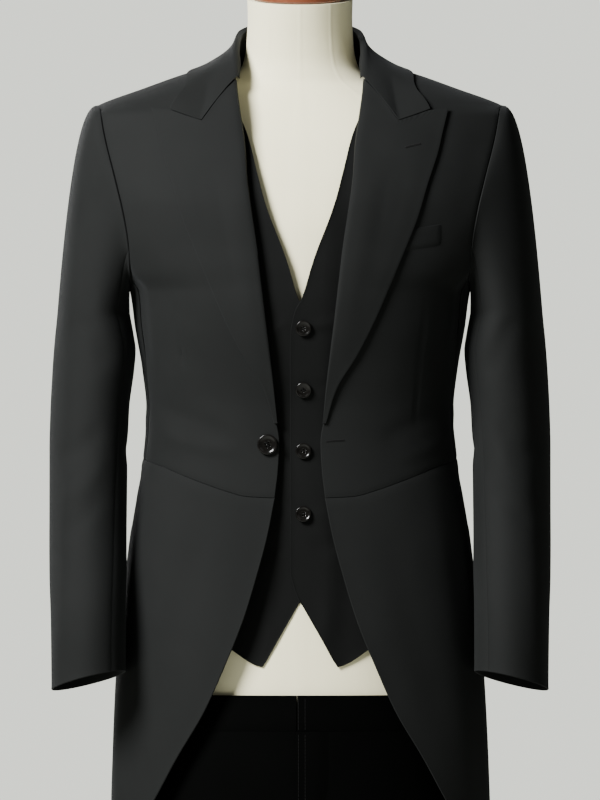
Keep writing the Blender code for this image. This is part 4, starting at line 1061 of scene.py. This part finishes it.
def tube(name, paths, radius, material, sides=6):
    """Thin round threads along paths of points, as one piece."""
    points, faces = [], []
    for path in paths:
        path = np.asarray(path, float)
        forward = unit(np.gradient(path, axis=0))
        aside = unit(np.cross(forward, (0.13, 0.31, 0.94)))
        above = np.cross(forward, aside)
        turn = np.linspace(0, 2 * np.pi, sides, endpoint=False)[None, :, None]
        rings = path[:, None] + radius * (np.cos(turn) * aside[:, None] + np.sin(turn) * above[:, None])
        numbers = np.arange(len(path) * sides).reshape(len(path), sides) + len(points)
        numbers = np.concatenate([numbers, numbers[:, :1]], axis=1)
        for row in range(len(path) - 1):
            faces += quads(numbers[row], numbers[row + 1])
        faces += [tuple(numbers[0, :-1][::-1]), tuple(numbers[-1, :-1])]
        points += rings.reshape(-1, 3).tolist()
    return add_mesh(name, points, faces, material)


def sewn_button(node, surface, u, v, out, diameter, spin=0.0):
    """A button lying on the cloth, sewn through its four holes with two bars of thread."""
    base = offset(surface, u, v, out)
    axis = unit(offset(surface, u, v, out + 0.01) - base)
    turn = Vector((0, 0, 1)).rotation_difference(Vector(axis)).to_matrix().to_4x4()
    cosine, sine = np.cos(spin), np.sin(spin)
    spun = np.array(turn)[:3, :3] @ np.array(((cosine, -sine, 0), (sine, cosine, 0), (0, 0, 1)))
    piece = bpy.data.objects.new(node + "_horn", BUTTON_MESHES[diameter].copy())
    flat = np.zeros(len(piece.data.vertices) * 3)
    piece.data.vertices.foreach_get("co", flat)
    placed = flat.reshape(-1, 3) @ spun.T + base
    piece.data.vertices.foreach_set("co", placed.ravel())
    piece.data.update()
    bpy.context.scene.collection.objects.link(piece)
    spread, top = diameter * 0.067, diameter * 0.102
    paths = []
    share = np.linspace(-1, 1, 9)
    lift = top + 0.0002 - 0.0009 * share**4
    for side in (-1, 1):
        for strand in (-0.5, 0.0, 0.5):
            beside_hole = np.full(9, side * spread + strand * 0.0006)
            bar = np.stack([share * spread * 1.1, beside_hole, lift], axis=-1)
            paths.append(bar @ spun.T + base)
    threads = tube(node + "_thread", paths, 0.00022, THREAD)
    for part in (piece, threads):
        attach(part, "root")
    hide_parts(node)


BUTTON_SEAT = SEAM + 0.0003
BACK_BUTTON_HEIGHT = np.array(1.298)
VENT_BUTTON_GAP = 0.0158
sewn_button("coat_front_button", body, angle_of(BODY, -0.0352, 1.3116), 1.3116, BUTTON_SEAT, COAT_BUTTON, 0.4)
for side, sign in (("L", 1), ("R", -1)):
    node, height = f"coat_back_button_{side}", BACK_BUTTON_HEIGHT
    pleat = along(body, back_angle(height), height, 0.0125)
    sewn_button(node, body, sign * pleat, height, LAP_RISE + 0.0008, COAT_BUTTON, 0.3 * sign)


def sleeve_on(sign):
    """The sleeve's surface on the wearer's left, for 1, or on the right, for -1."""
    return lambda turn, up: sleeve(sign * turn, up) * (sign, 1, 1)


for side, sign in (("L", 1), ("R", -1)):
    turn = np.array(sign * (HIND_SEAM - 0.17))
    for number in range(4):
        height = np.array(CUFF + 0.034 + number * VENT_BUTTON_GAP)
        node = f"coat_sleeve_button_{side}{number + 1}"
        sewn_button(node, sleeve_on(sign), turn, height, SEAM + 0.0006, SLEEVE_BUTTON, number * 0.7)


# Worked buttonholes: a cut in the cloth bound with silk, one in the left lapel and one in the left front
# edge. They are sewn by hand and lie flat.
def buttonhole(name, place, start, end, out):
    """A worked slit from start to end: a dark cut between two corded lips, closed by a bar at each end."""
    start, end = np.array(start), np.array(end)
    count = max(8, int(round(np.linalg.norm(end - start) / 0.0007)))
    line = start + (end - start) * np.linspace(0, 1, count)[:, None]
    aside = unit(np.array((start[1] - end[1], end[0] - start[0])))
    paths = []
    for spot in line:
        for lip in (-1, 1):
            reach = np.array((0.00010, 0.0005, 0.0009))[:, None] * aside * lip + spot
            lift = np.array((out - 0.0001, out + 0.00025, out - 0.0001))
            paths.append(place(np.concatenate([reach, lift[:, None]], axis=-1)))
    for spot in (start, end):
        bar = spot + aside * np.linspace(-0.0010, 0.0010, 5)[:, None]
        lift = out + np.array((-0.0001, 0.0003, 0.0004, 0.0003, -0.0001))
        paths.append(place(np.concatenate([bar, lift[:, None]], axis=-1)))
    piece = tube(name, paths, 0.00028, SILK_TWIST, 5)
    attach(piece, "root")


buttonhole("lapel_buttonhole", on_front, (0.1145, 1.6345), (0.1300, 1.6385), LAPEL_OUT + 0.0003)
buttonhole("front_buttonhole", on_front, (0.0290, 1.3150), (0.0480, 1.3162), 0.0001)

# Waistcoat: two fronts, the left lapped over the right and closed by four buttons, and one back. The cloth is
# thinner than the coat's and pulls a little towards each button.
WAISTCOAT_CLOTH = 0.0015
WAISTCOAT_NOTCH = 1.1415
WAISTCOAT_WOOL = wool("waistcoat_worsted", (0.0036, 0.0039, 0.0037), (0.0051, 0.0054, 0.0052), 0.018, 0.07)
WAISTCOAT_EDGE = Table(
    "height x",
    (1.1415, 0.0000),
    (1.1576, -0.0066),
    (1.1750, -0.0105),
    (1.4200, -0.0105),
    (1.4414, -0.0090),
    (1.4513, -0.0066),
    (1.4623, -0.0015),
    (1.4735, 0.0036),
    (1.4860, 0.0060),
    (1.5040, 0.0121),
    (1.5390, 0.0265),
    (1.5635, 0.0345),
    (1.5910, 0.0425),
    (1.6350, 0.0540),
    (1.6800, 0.0660),
    (1.7100, 0.0760),
    (1.7320, 0.0830),
)
WAISTCOAT_ARMHOLE = Table(
    "height front_x back_x",
    (1.452, 0.1800, 0.1800),
    (1.470, 0.1680, 0.1730),
    (1.510, 0.1530, 0.1640),
    (1.560, 0.1450, 0.1580),
    (1.620, 0.1440, 0.1550),
    (1.670, 0.1490, 0.1550),
    (1.7032, 0.1600, 0.1600),
    (1.7085, 0.1560, 0.1560),
)
WAISTCOAT_HEM = Table(
    "x height",
    (0.0, 1.1415),
    (0.042, 1.0696),
    (0.074, 1.086),
    (0.12, 1.112),
    (0.19, 1.136),
)
WAISTCOAT_SIDE_TOP = 1.452
WAISTCOAT_SHOULDER = 1.7062
WAISTCOAT_POINT = 0.042
WAISTCOAT_OUT = -0.0082
FRONT_LAP_RISE = 0.0031
WAISTCOAT_BUTTONS = (1.4377, 1.3703, 1.3045, 1.2363)
BUTTON_LINE = 0.0038


def waistcoat_out(height):
    """How far in from the coat's sections the waistcoat lies; below the waist it keeps to the form."""
    return WAISTCOAT_OUT - 0.013 * smooth_step((1.30 - height) / 0.17)


def waistcoat_side(height, column):
    """The side seam, the armhole, then the shoulder seam of the waistcoat, on its front or its back."""
    hole = angle_of(BODY, WAISTCOAT_ARMHOLE(column, height), height)
    hole = hole if column == "front_x" else np.pi - hole
    on_edge = (height > WAISTCOAT_SIDE_TOP) & (height < WAISTCOAT_SHOULDER)
    return np.where(on_edge, hole, np.pi / 2)


def waistcoat_front_edge(height):
    return angle_of(BODY, WAISTCOAT_EDGE("x", height), height)


waistcoat_levels = [WAISTCOAT_SIDE_TOP, 1.47, 1.51, 1.56, 1.61, 1.655, 1.69, WAISTCOAT_SHOULDER, 1.719, 1.732]
front_rows = np.array([WAISTCOAT_NOTCH, 1.158, 1.176, 1.23, 1.30, 1.37, 1.425, *waistcoat_levels])
side_rows = np.array([1.136, 1.16, 1.20, 1.25, 1.31, 1.37, 1.42, *waistcoat_levels])
front_left = edge_up(waistcoat_front_edge, front_rows, 0.0)
front_right = edge_up(lambda height: waistcoat_side(height, "front_x"), side_rows, -SEAM)
hem_x = np.array((0.0, 0.010, 0.030, 0.0405, WAISTCOAT_POINT, 0.0435, 0.054, 0.080, 0.115, 0.15))
hem_z = WAISTCOAT_HEM("height", hem_x)
hem_z[:5] = np.interp(hem_x[:5], (0.0, WAISTCOAT_POINT), (WAISTCOAT_NOTCH, hem_z[4]))
front_bottom = pairs([*angle_of(BODY, hem_x, hem_z), front_right[0, 0]], [*hem_z, front_right[0, 1]])
hem_shares = (front_bottom[:, 0] - front_bottom[0, 0]) / np.ptp(front_bottom[:, 0])
front_top = front_left[-1] + (front_right[-1] - front_left[-1]) * hem_shares[:, None]
waistcoat_front = patch(front_left, front_right, front_bottom, front_top, hem_shares)
WAISTCOAT_FOLDS = {
    "L": (
        (2, 1.4380, 13, 1.4480, 0.0045, 0.0009, 0.0),
        (2, 1.4370, 12, 1.4250, 0.0050, -0.0009, 0.0),
        (2, 1.3710, 15, 1.3640, 0.0060, 0.0010, 0.001),
        (3, 1.3690, 14, 1.3800, 0.0050, -0.0008, 0.0),
        (2, 1.3045, 16, 1.3150, 0.0060, 0.0011, 0.001),
        (3, 1.3040, 15, 1.2960, 0.0055, -0.0011, 0.0),
        (2, 1.2370, 14, 1.2300, 0.0060, 0.0009, 0.0),
        (4, 1.2000, 18, 1.2140, 0.0090, -0.0012, 0.002),
        (6, 1.1000, 9, 1.2000, 0.0080, 0.0010, 0.003),
    ),
    "R": (
        (4, 1.4400, 13, 1.4300, 0.0050, 0.0008, 0.0),
        (4, 1.3700, 14, 1.3790, 0.0055, -0.0009, 0.0),
        (4, 1.3030, 15, 1.2960, 0.0060, 0.0010, 0.001),
        (4, 1.2360, 15, 1.2450, 0.0060, -0.0009, 0.0),
        (5, 1.1960, 18, 1.2080, 0.0090, -0.0011, 0.002),
        (7, 1.0950, 10, 1.1900, 0.0085, 0.0010, 0.002),
    ),
}
waistcoat_grid = finer(with_rise(waistcoat_front), on_body, 0.005)
for side in ("L", "R"):
    grid = waistcoat_grid.copy()
    place = on_body(grid)
    edges = beside(place, left=EDGE_ROLL, right=SEAM_SINK, bottom=EDGE_ROLL)
    grid[..., 2] = waistcoat_out(grid[..., 1]) + edges
    if side == "L":
        grid[..., 2] += FRONT_LAP_RISE * smooth_step((0.055 - place[..., 0]) / 0.03)
    grid[..., 2] += girth_folds(waistcoat_grid, WAISTCOAT_FOLDS[side])
    face = for_side(on_body(grid), side)
    cloth(f"waistcoat_front_{side}", face, WAISTCOAT_CLOTH, WAISTCOAT_WOOL)

back_left = edge_up(lambda height: waistcoat_side(height, "back_x"), side_rows, SEAM)
back_right = back_left * (-1, 1) + (2 * np.pi, 0)
grid = finer(with_rise(between(back_left, back_right, 11)), on_body, 0.007)
edges = beside(on_body(grid), left=SEAM_SINK, right=SEAM_SINK, bottom=EDGE_ROLL)
grid[..., 2] = waistcoat_out(grid[..., 1]) + edges
cloth("waistcoat_back", on_body(grid), WAISTCOAT_CLOTH, WAISTCOAT_WOOL)

for number, height in enumerate(WAISTCOAT_BUTTONS):
    out = waistcoat_out(height) + FRONT_LAP_RISE + 0.0010
    angle, node = angle_of(BODY, BUTTON_LINE, height), f"waistcoat_button_{number + 1}"
    sewn_button(node, body, angle, np.array(height), out, WAISTCOAT_BUTTON, 0.25 + 0.5 * number)

# Trousers: a front and a back for each leg, pressed to a crease down the middle of each, with seams down the
# outside and the inside. They hang straight down to their hems.
TROUSER_CLOTH = 0.0014
TROUSER_TOP = 1.037
WAISTBAND_DEPTH = 0.038
CROTCH = 0.785
TROUSER_HEM = 0.037
# The trouser cloth is near black, and its colour is set far darker than the coat's partly as painted shade
# for the shadow that the coat skirts cast on it.
TROUSER_WOOL_SHADE_DARKENED = wool("trouser_worsted_shade_darkened", (0.0007, 0.0008, 0.0007), (0.0012, 0.0013, 0.0012), 0.0, 0.015)
HIPS = Table(
    "height half_width front back middle squareness",
    (0.780, 0.186, 0.104, 0.112, 0.000, 2.2),
    (0.850, 0.186, 0.110, 0.121, 0.000, 2.2),
    (0.930, 0.181, 0.112, 0.121, 0.000, 2.2),
    (1.000, 0.1745, 0.110, 0.116, 0.000, 2.2),
    (1.040, 0.1700, 0.107, 0.113, 0.000, 2.2),
)
LEG = Table(
    "height centre half_width front back",
    (0.030, 0.1010, 0.058, 0.072, 0.072),
    (0.200, 0.1000, 0.060, 0.073, 0.073),
    (0.450, 0.0985, 0.066, 0.079, 0.080),
    (0.650, 0.0970, 0.078, 0.091, 0.096),
    (0.740, 0.0955, 0.0875, 0.098, 0.105),
    (0.800, 0.0950, 0.0925, 0.101, 0.109),
)
CROTCH_START = 0.90
CREASE = 1.35
LEG_GIRTH = 0.42
hips = section(HIPS)


def trouser(share, height):
    """The trousers' left half: share 0 to 1 from the centre front or inseam round the outside to the back."""
    share, height = np.broadcast_arrays(share, height)
    turn = (share - 0.5) * 2 * np.pi
    front_turn = -np.pi / 2 + share * 2 * np.pi
    aside, ahead = np.sin(front_turn), np.cos(front_turn)
    reach = np.where(ahead > 0, LEG("front", height), LEG("back", height))
    x = LEG("centre", height) + LEG("half_width", height) * np.sign(aside) * np.abs(aside) ** CREASE
    leg = np.stack([x, -reach * ahead, height], axis=-1)
    seat = hips(share * np.pi, height)
    blend = smooth_step((CROTCH_START - height) / (CROTCH_START - CROTCH))[..., None]
    return seat * (1 - blend) + leg * blend


TROUSER_FOLDS = {
    "L": (
        (0.06, 0.800, 0.20, 0.870, 0.012, 0.0020, 0.004),
        (0.09, 0.765, 0.30, 0.845, 0.013, -0.0020, 0.003),
        (0.40, 0.840, 0.36, 0.560, 0.016, -0.0022, 0.004),
        (0.13, 0.520, 0.21, 0.470, 0.012, -0.0016, 0.003),
        (0.33, 0.480, 0.40, 0.440, 0.012, -0.0018, 0.002),
        (0.12, 0.085, 0.36, 0.110, 0.012, -0.0026, 0.004),
        (0.62, 0.870, 0.93, 0.800, 0.016, -0.0026, 0.006),
        (0.64, 0.820, 0.92, 0.740, 0.014, 0.0020, 0.004),
        (0.66, 0.500, 0.84, 0.470, 0.012, -0.0018, 0.003),
        (0.64, 0.095, 0.88, 0.120, 0.012, -0.0024, -0.003),
    ),
    "R": (
        (0.05, 0.795, 0.19, 0.862, 0.013, 0.0021, 0.003),
        (0.10, 0.755, 0.31, 0.838, 0.014, -0.0022, 0.004),
        (0.41, 0.830, 0.37, 0.600, 0.015, -0.0020, 0.003),
        (0.14, 0.500, 0.22, 0.462, 0.011, -0.0017, 0.002),
        (0.31, 0.470, 0.41, 0.446, 0.013, -0.0016, 0.003),
        (0.13, 0.095, 0.34, 0.080, 0.012, -0.0025, 0.004),
        (0.60, 0.860, 0.91, 0.806, 0.015, -0.0024, 0.005),
        (0.66, 0.812, 0.94, 0.745, 0.014, 0.0019, 0.003),
        (0.68, 0.490, 0.86, 0.475, 0.011, -0.0019, 0.002),
        (0.62, 0.105, 0.86, 0.110, 0.012, -0.0023, -0.002),
    ),
}
band_foot = TROUSER_TOP - WAISTBAND_DEPTH - SEAM
leg_ups = np.linspace(0.047, band_foot - 0.005, 118)
trouser_ups = np.concatenate([TROUSER_HEM + EDGE_ROWS, leg_ups, [band_foot - 0.0018, band_foot]])
for node, start, end in (("trouser_front", 0.0, 0.5), ("trouser_back", 0.5, 1.0)):
    shares, heights = np.meshgrid(stops(start, end, 40, EDGE_ROWS / LEG_GIRTH), trouser_ups)
    smooth = offset(trouser, shares, heights)
    normal = unit(offset(trouser, shares, heights, 0.01) - smooth)
    set_in = unit(np.gradient(smooth, axis=1)) * (SEAM / 2 + 0.0001)
    smooth[:, 0] += set_in[:, 0]
    smooth[:, -1] -= set_in[:, -1]
    edges = beside(smooth, left=SEAM_SINK, right=SEAM_SINK, bottom=EDGE_ROLL)
    pressed = 0.0011 * np.exp(-(((shares - (start + end) / 2) * LEG_GIRTH / 0.0030) ** 2))
    pressed = pressed * smooth_step((0.93 - heights) / 0.05)
    for side in ("L", "R"):
        lift = folds(shares * LEG_GIRTH, heights, TROUSER_FOLDS[side], LEG_GIRTH)
        face = smooth + normal * (edges + pressed + lift)[..., None]
        cloth(f"{node}_{side}", for_side(face, side), TROUSER_CLOTH, TROUSER_WOOL_SHADE_DARKENED)

# Trouser waistband and fly: a doubled band round the top, hooked at the centre front, and the fly's facing
# below it, held by a row of stitches. A second row of pale thread beside the fly's folded edge is a painted
# highlight of that edge catching the light.
FLY_EDGE = -0.0033
# The "edge" row is pale thread drawn as a painted highlight along the fly's folded edge; the "fly" row is the
# fly's stitching.
STITCH_LINES = (("edge", -0.0017), ("fly", 0.0056))


def on_hips(grid):
    return offset(hips, grid[..., 0], grid[..., 1], grid[..., 2])


band_start = angle_of(HIPS, FLY_EDGE, 1.02) + 0.004
band_round = np.linspace(band_start, band_start + 2 * np.pi - 0.008, 27)
angles, heights = np.meshgrid(band_round, (TROUSER_TOP - WAISTBAND_DEPTH, TROUSER_TOP))
band = finer(with_rise(pairs(angles, heights), 0.0006), on_hips, 0.007)
band[..., 2] += beside(on_hips(band), bottom=SEAM_SINK, top=EDGE_ROLL)
band[..., 2] += beside(on_hips(band), left=0.0011, width=0.030)
cloth("trouser_waistband", on_hips(band), 0.0022, TROUSER_WOOL_SHADE_DARKENED)

fly_rows = np.linspace(0.902, TROUSER_TOP - WAISTBAND_DEPTH - 2 * SEAM, 6)
fly_x = np.array((0.012, 0.030, 0.0345, 0.035, 0.035, 0.035))
fly_left = pairs(angle_of(HIPS, np.full(6, FLY_EDGE), fly_rows), fly_rows)
fly_right = pairs(angle_of(HIPS, fly_x, fly_rows), fly_rows)
fly_grid = finer(with_rise(between(fly_left, fly_right, 5), 0.0017), on_hips, 0.004)
fly_grid[..., 2] += beside(on_hips(fly_grid), left=EDGE_ROLL)
fly_grid[..., 2] += beside(on_hips(fly_grid), right=-0.0020, bottom=-0.0020, width=0.010)
cloth("trouser_fly", on_hips(fly_grid), 0.0012, TROUSER_WOOL_SHADE_DARKENED)


def stitches(name, line, length=0.0026, gap=0.0012, radius=0.0002):
    """A row of stitches along a line of points that lies on the cloth; the row at the fly's folded edge is a
    painted highlight.
    """
    run = np.append(0.0, np.cumsum(np.linalg.norm(np.diff(line, axis=0), axis=1)))
    starts = np.arange(0.0, run[-1] - length, length + gap)
    paths = []
    for start in starts:
        spots = start + np.linspace(0, length, 4)
        paths.append(np.stack([np.interp(spots, run, line[:, axis]) for axis in range(3)], axis=-1))
    piece = tube(name, paths, radius, SILK_TWIST, 5)
    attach(piece, "root")


STITCH_PARTS = (("lower", 0.905, band_foot - 0.002), ("band", band_foot + 0.002, TROUSER_TOP - 0.001))
# Both rows are pale silk thread; the edge row stands in as a painted highlight of the fly's folded edge, not
# as stitching.
for line, stitch_x in STITCH_LINES:
    for part, low, high in STITCH_PARTS:
        heights = np.linspace(low, high, 40)
        placed = offset(hips, angle_of(HIPS, np.full(40, stitch_x), heights), heights, 0.0019)
        stitches(f"{line}_stitches_{part}", placed)

# Dress form: a padded torso and neck under a tight cream cotton jersey cover, with fine seams down the middle
# and over the bust. It carries the clothes and has no arms or legs.
FORM = Table(
    "height half_width front back middle squareness",
    (0.955, 0.1630, 0.097, 0.104, 0.000, 2.2),
    (0.972, 0.1690, 0.103, 0.110, 0.000, 2.2),
    (1.030, 0.1655, 0.102, 0.108, 0.000, 2.2),
    (1.100, 0.1620, 0.100, 0.104, 0.000, 2.2),
    (1.180, 0.1590, 0.096, 0.092, 0.000, 2.2),
    (1.260, 0.1510, 0.092, 0.079, 0.000, 2.2),
    (1.330, 0.1480, 0.094, 0.078, 0.000, 2.2),
    (1.400, 0.1530, 0.104, 0.086, 0.000, 2.2),
    (1.470, 0.1630, 0.116, 0.096, 0.000, 2.2),
    (1.540, 0.1760, 0.113, 0.101, 0.000, 2.3),
    (1.600, 0.1790, 0.100, 0.096, 0.000, 2.4),
    (1.640, 0.1780, 0.086, 0.089, 0.000, 2.3),
    (1.664, 0.1640, 0.074, 0.082, 0.002, 2.1),
    (1.682, 0.1360, 0.064, 0.074, 0.004, 2.0),
    (1.698, 0.1020, 0.056, 0.066, 0.006, 2.0),
    (1.712, 0.0760, 0.051, 0.058, 0.008, 2.0),
    (1.728, 0.0635, 0.0495, 0.0525, 0.008, 2.0),
    (1.750, 0.0590, 0.0500, 0.0500, 0.005, 2.0),
    (1.780, 0.0575, 0.0520, 0.0520, -0.001, 2.0),
    (1.800, 0.0580, 0.0540, 0.0540, -0.005, 2.0),
)
NECK_TOP = 1.8005
NECK_FOOT = 1.728
NECK_TILT = 0.15
FORM_SEAM_WIDTH = 0.0011
FORM_RADIUS = 0.12


def jersey():
    """Cotton jersey: cream, matt, with a fine rib and slightly darker where hands have touched it."""
    material, tree, surface = new_material("cream_jersey")
    place = shader(tree, "ShaderNodeTexCoord").outputs["Object"]
    rib = texture(tree, "Wave", place, Scale=260.0, Distortion=0.6, Detail=1.0)
    fibres = texture(tree, "Noise", place, Scale=1400.0, Detail=3.0)
    marks = texture(tree, "Noise", place, Scale=11.0, Detail=4.0)
    two_colours(tree, marks, (0.93, 0.880, 0.600), (0.88, 0.825, 0.545), surface.inputs["Base Color"])
    relief(tree, rib, fibres, 0.25, 0.0003, surface.inputs["Normal"])
    surface.inputs["Roughness"].default_value = 0.82
    surface.inputs["Sheen Weight"].default_value = 0.15
    return material


def lathe(name, rings, material, node, sharp_degrees=50):
    """A turned piece that stands for its plain node in the frame."""
    piece = turned(name, rings, material, sharp_degrees)
    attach(piece, "root")
    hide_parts(node)
    return piece


JERSEY = jersey()
form = section(FORM)
form_middle, form_top = np.linspace(0.970, 1.640, 110), np.linspace(1.645, NECK_TOP, 50)
form_levels = np.array([0.955, 0.9562, 0.959, 0.963, *form_middle, *form_top])
form_turns, form_heights = np.meshgrid(np.linspace(0, 2 * np.pi, 192, endpoint=False), form_levels)
torso = form(form_turns, form_heights)
torso_normal = unit(offset(form, form_turns, form_heights, 0.01) - torso)
seam_lines = (0.0, np.pi, 0.62, 2 * np.pi - 0.62, 2.55, 2 * np.pi - 2.55)
ridge = 0.0
for line in seam_lines:
    aside = (form_turns - line + np.pi) % (2 * np.pi) - np.pi
    ridge = ridge + np.exp(-((aside * FORM_RADIUS / FORM_SEAM_WIDTH) ** 2))
torso = torso + torso_normal * (0.0004 * ridge * smooth_step((form_heights - 0.97) / 0.02))[..., None]
tilt = smooth_step((torso[..., 2] - NECK_FOOT) / (NECK_TOP - NECK_FOOT))
torso[..., 2] += tilt * NECK_TILT * (torso[..., 1] + 0.005)
lathe("form_cover", torso, JERSEY, "form_torso")


# Neck cap: a turned hardwood disc, stained dark red brown and varnished. It is screwed down on the neck and
# tilts a little to the front with it.
def wood():
    """Stained and varnished hardwood with fine grain."""
    material, tree, surface = new_material("stained_hardwood")
    place = shader(tree, "ShaderNodeTexCoord").outputs["Object"]
    stretch = shader(tree, "ShaderNodeMapping", Scale=(1.0, 9.0, 9.0))
    link(tree, place, stretch.inputs["Vector"])
    grain = texture(tree, "Noise", stretch.outputs["Vector"], Scale=26.0, Detail=6.0, Distortion=0.8)
    two_colours(tree, grain, (0.105, 0.024, 0.010), (0.215, 0.066, 0.026), surface.inputs["Base Color"])
    ranged(tree, grain, 0.22, 0.40, surface.inputs["Roughness"])
    surface.inputs["Coat Weight"].default_value = 0.5
    surface.inputs["Coat Roughness"].default_value = 0.15
    return material


cap_axis = unit(np.array((0.0, -NECK_TILT, 1.0)))
cap_base = np.array((0.0, -0.005, NECK_TOP)) + cap_axis * SEAM
cap_turn = np.array(Vector((0, 0, 1)).rotation_difference(Vector(cap_axis)).to_matrix())
cap_line = Table(
    "run height radius",
    (0, 0.0000, 0.0505),
    (1, 0.0006, 0.0526),
    (2, 0.0030, 0.0537),
    (3, 0.0110, 0.0536),
    (4, 0.0170, 0.0500),
    (5, 0.0220, 0.0410),
    (6, 0.0250, 0.0270),
    (7, 0.0260, 0.0100),
    (8, 0.0261, 0.0010),
)
cap_runs = np.linspace(0, 8, 49)
cap_rings = turned_points(list(zip(cap_line("height", cap_runs), cap_line("radius", cap_runs))), 96)
lathe("neck_cap_turned", cap_rings @ cap_turn.T + cap_base, wood(), "form_neck_cap")


# Stand: two round steel rods, one down each trouser leg, screwed into a heavy round base. All of it is
# brushed steel.
BASE_RADIUS = 0.190
BASE_THICKNESS = 0.012
ROD_RADIUS = 0.011
ROD_X = 0.100
ROD_Y = 0.030
FORM_FOOT = 0.955


def steel():
    """Brushed steel with fine marks and a few duller patches."""
    material, tree, surface = new_material("brushed_steel")
    place = shader(tree, "ShaderNodeTexCoord").outputs["Object"]
    stretch = shader(tree, "ShaderNodeMapping", Scale=(1.0, 1.0, 30.0))
    link(tree, place, stretch.inputs["Vector"])
    brushing = texture(tree, "Noise", stretch.outputs["Vector"], Scale=40.0, Detail=5.0)
    patches = texture(tree, "Noise", place, Scale=14.0, Detail=3.0)
    two_colours(tree, brushing, (0.50, 0.50, 0.49), (0.62, 0.62, 0.61), surface.inputs["Base Color"])
    ranged(tree, patches, 0.24, 0.46, surface.inputs["Roughness"])
    surface.inputs["Metallic"].default_value = 1.0
    return material


STEEL = steel()
ROD_LENGTH = FORM_FOOT - BASE_THICKNESS - 2 * SEAM
rod_line = [
    (0.0, ROD_RADIUS - 0.0004),
    (0.0005, ROD_RADIUS),
    (ROD_LENGTH - 0.0005, ROD_RADIUS),
    (ROD_LENGTH, ROD_RADIUS - 0.0004),
]
for side, sign in (("L", 1), ("R", -1)):
    rod = turned_points(rod_line, 48) + (sign * ROD_X, ROD_Y, BASE_THICKNESS + SEAM)
    lathe(f"rod_brushed_{side}", rod, STEEL, f"stand_rod_{side}", 30)
base_line = [
    (0.0, BASE_RADIUS - 0.0010),
    (0.0008, BASE_RADIUS),
    (BASE_THICKNESS - 0.0026, BASE_RADIUS),
    (BASE_THICKNESS - 0.0012, BASE_RADIUS - 0.0008),
    (BASE_THICKNESS - 0.0003, BASE_RADIUS - 0.0020),
    (BASE_THICKNESS, BASE_RADIUS - 0.0034),
]
lathe("base_brushed", turned_points(base_line, 160), STEEL, "stand_base", 30)

# Studio: a plain pale floor and room, one broad soft light from the left, a weaker one from the right and one
# behind. The camera looks straight at the front from above the height of the waist.
FLOOR_RADIUS = 5.0
ROOM_COLOUR = (0.617, 0.632, 0.572)
ROOM_LIGHT = 0.14
ROOM_SEEN = 2.08
CAMERA_HEIGHT = 1.36
CAMERA_AWAY = 12.0
LENS = 491.0

floor_material, _, floor_shader = new_material("studio_floor")
floor_shader.inputs["Base Color"].default_value = (*ROOM_COLOUR, 1)
floor_shader.inputs["Roughness"].default_value = 0.9
floor = turned("floor", turned_points([(-0.02, FLOOR_RADIUS), (-0.0005, FLOOR_RADIUS)], 96), floor_material)

world = bpy.data.worlds.new("studio_room")
world.use_nodes = True
sky = world.node_tree
room = sky.nodes["Background"]
room.inputs["Color"].default_value = (*ROOM_COLOUR, 1)
room.inputs["Strength"].default_value = ROOM_LIGHT
seen = shader(sky, "ShaderNodeBackground", Color=(*ROOM_COLOUR, 1), Strength=ROOM_SEEN)
rays = shader(sky, "ShaderNodeLightPath")
either = shader(sky, "ShaderNodeMixShader")
link(sky, rays.outputs["Is Camera Ray"], either.inputs[0])
link(sky, room.outputs[0], either.inputs[1])
link(sky, seen.outputs[0], either.inputs[2])
link(sky, either.outputs[0], sky.nodes["World Output"].inputs["Surface"])
bpy.context.scene.world = world


def soft_light(name, place, aim, size, power):
    data = bpy.data.lights.new(name, "AREA")
    data.shape, data.size, data.energy = "DISK", size, power
    light = bpy.data.objects.new(name, data)
    light.location = place
    light.rotation_mode = "QUATERNION"
    light.rotation_quaternion = (Vector(aim) - Vector(place)).to_track_quat("-Z", "Y")
    bpy.context.scene.collection.objects.link(light)


soft_light("key_light", (-2.0, -2.0, 3.3), (0.0, 0.0, 1.78), 1.4, 390)
soft_light("fill_light", (1.6, -2.6, 3.0), (0.0, 0.0, 1.7), 2.0, 6)
soft_light("back_light", (-1.4, 2.8, 2.6), (0.0, 0.0, 1.4), 1.6, 60)

camera_data = bpy.data.cameras.new("camera")
camera_data.lens = LENS
camera_data.sensor_width = 36.0
camera = bpy.data.objects.new("camera", camera_data)
camera.location = (0.0, -CAMERA_AWAY, CAMERA_HEIGHT)
camera.rotation_euler = (np.pi / 2, 0.0, 0.0)
bpy.context.scene.collection.objects.link(camera)
bpy.context.scene.camera = camera
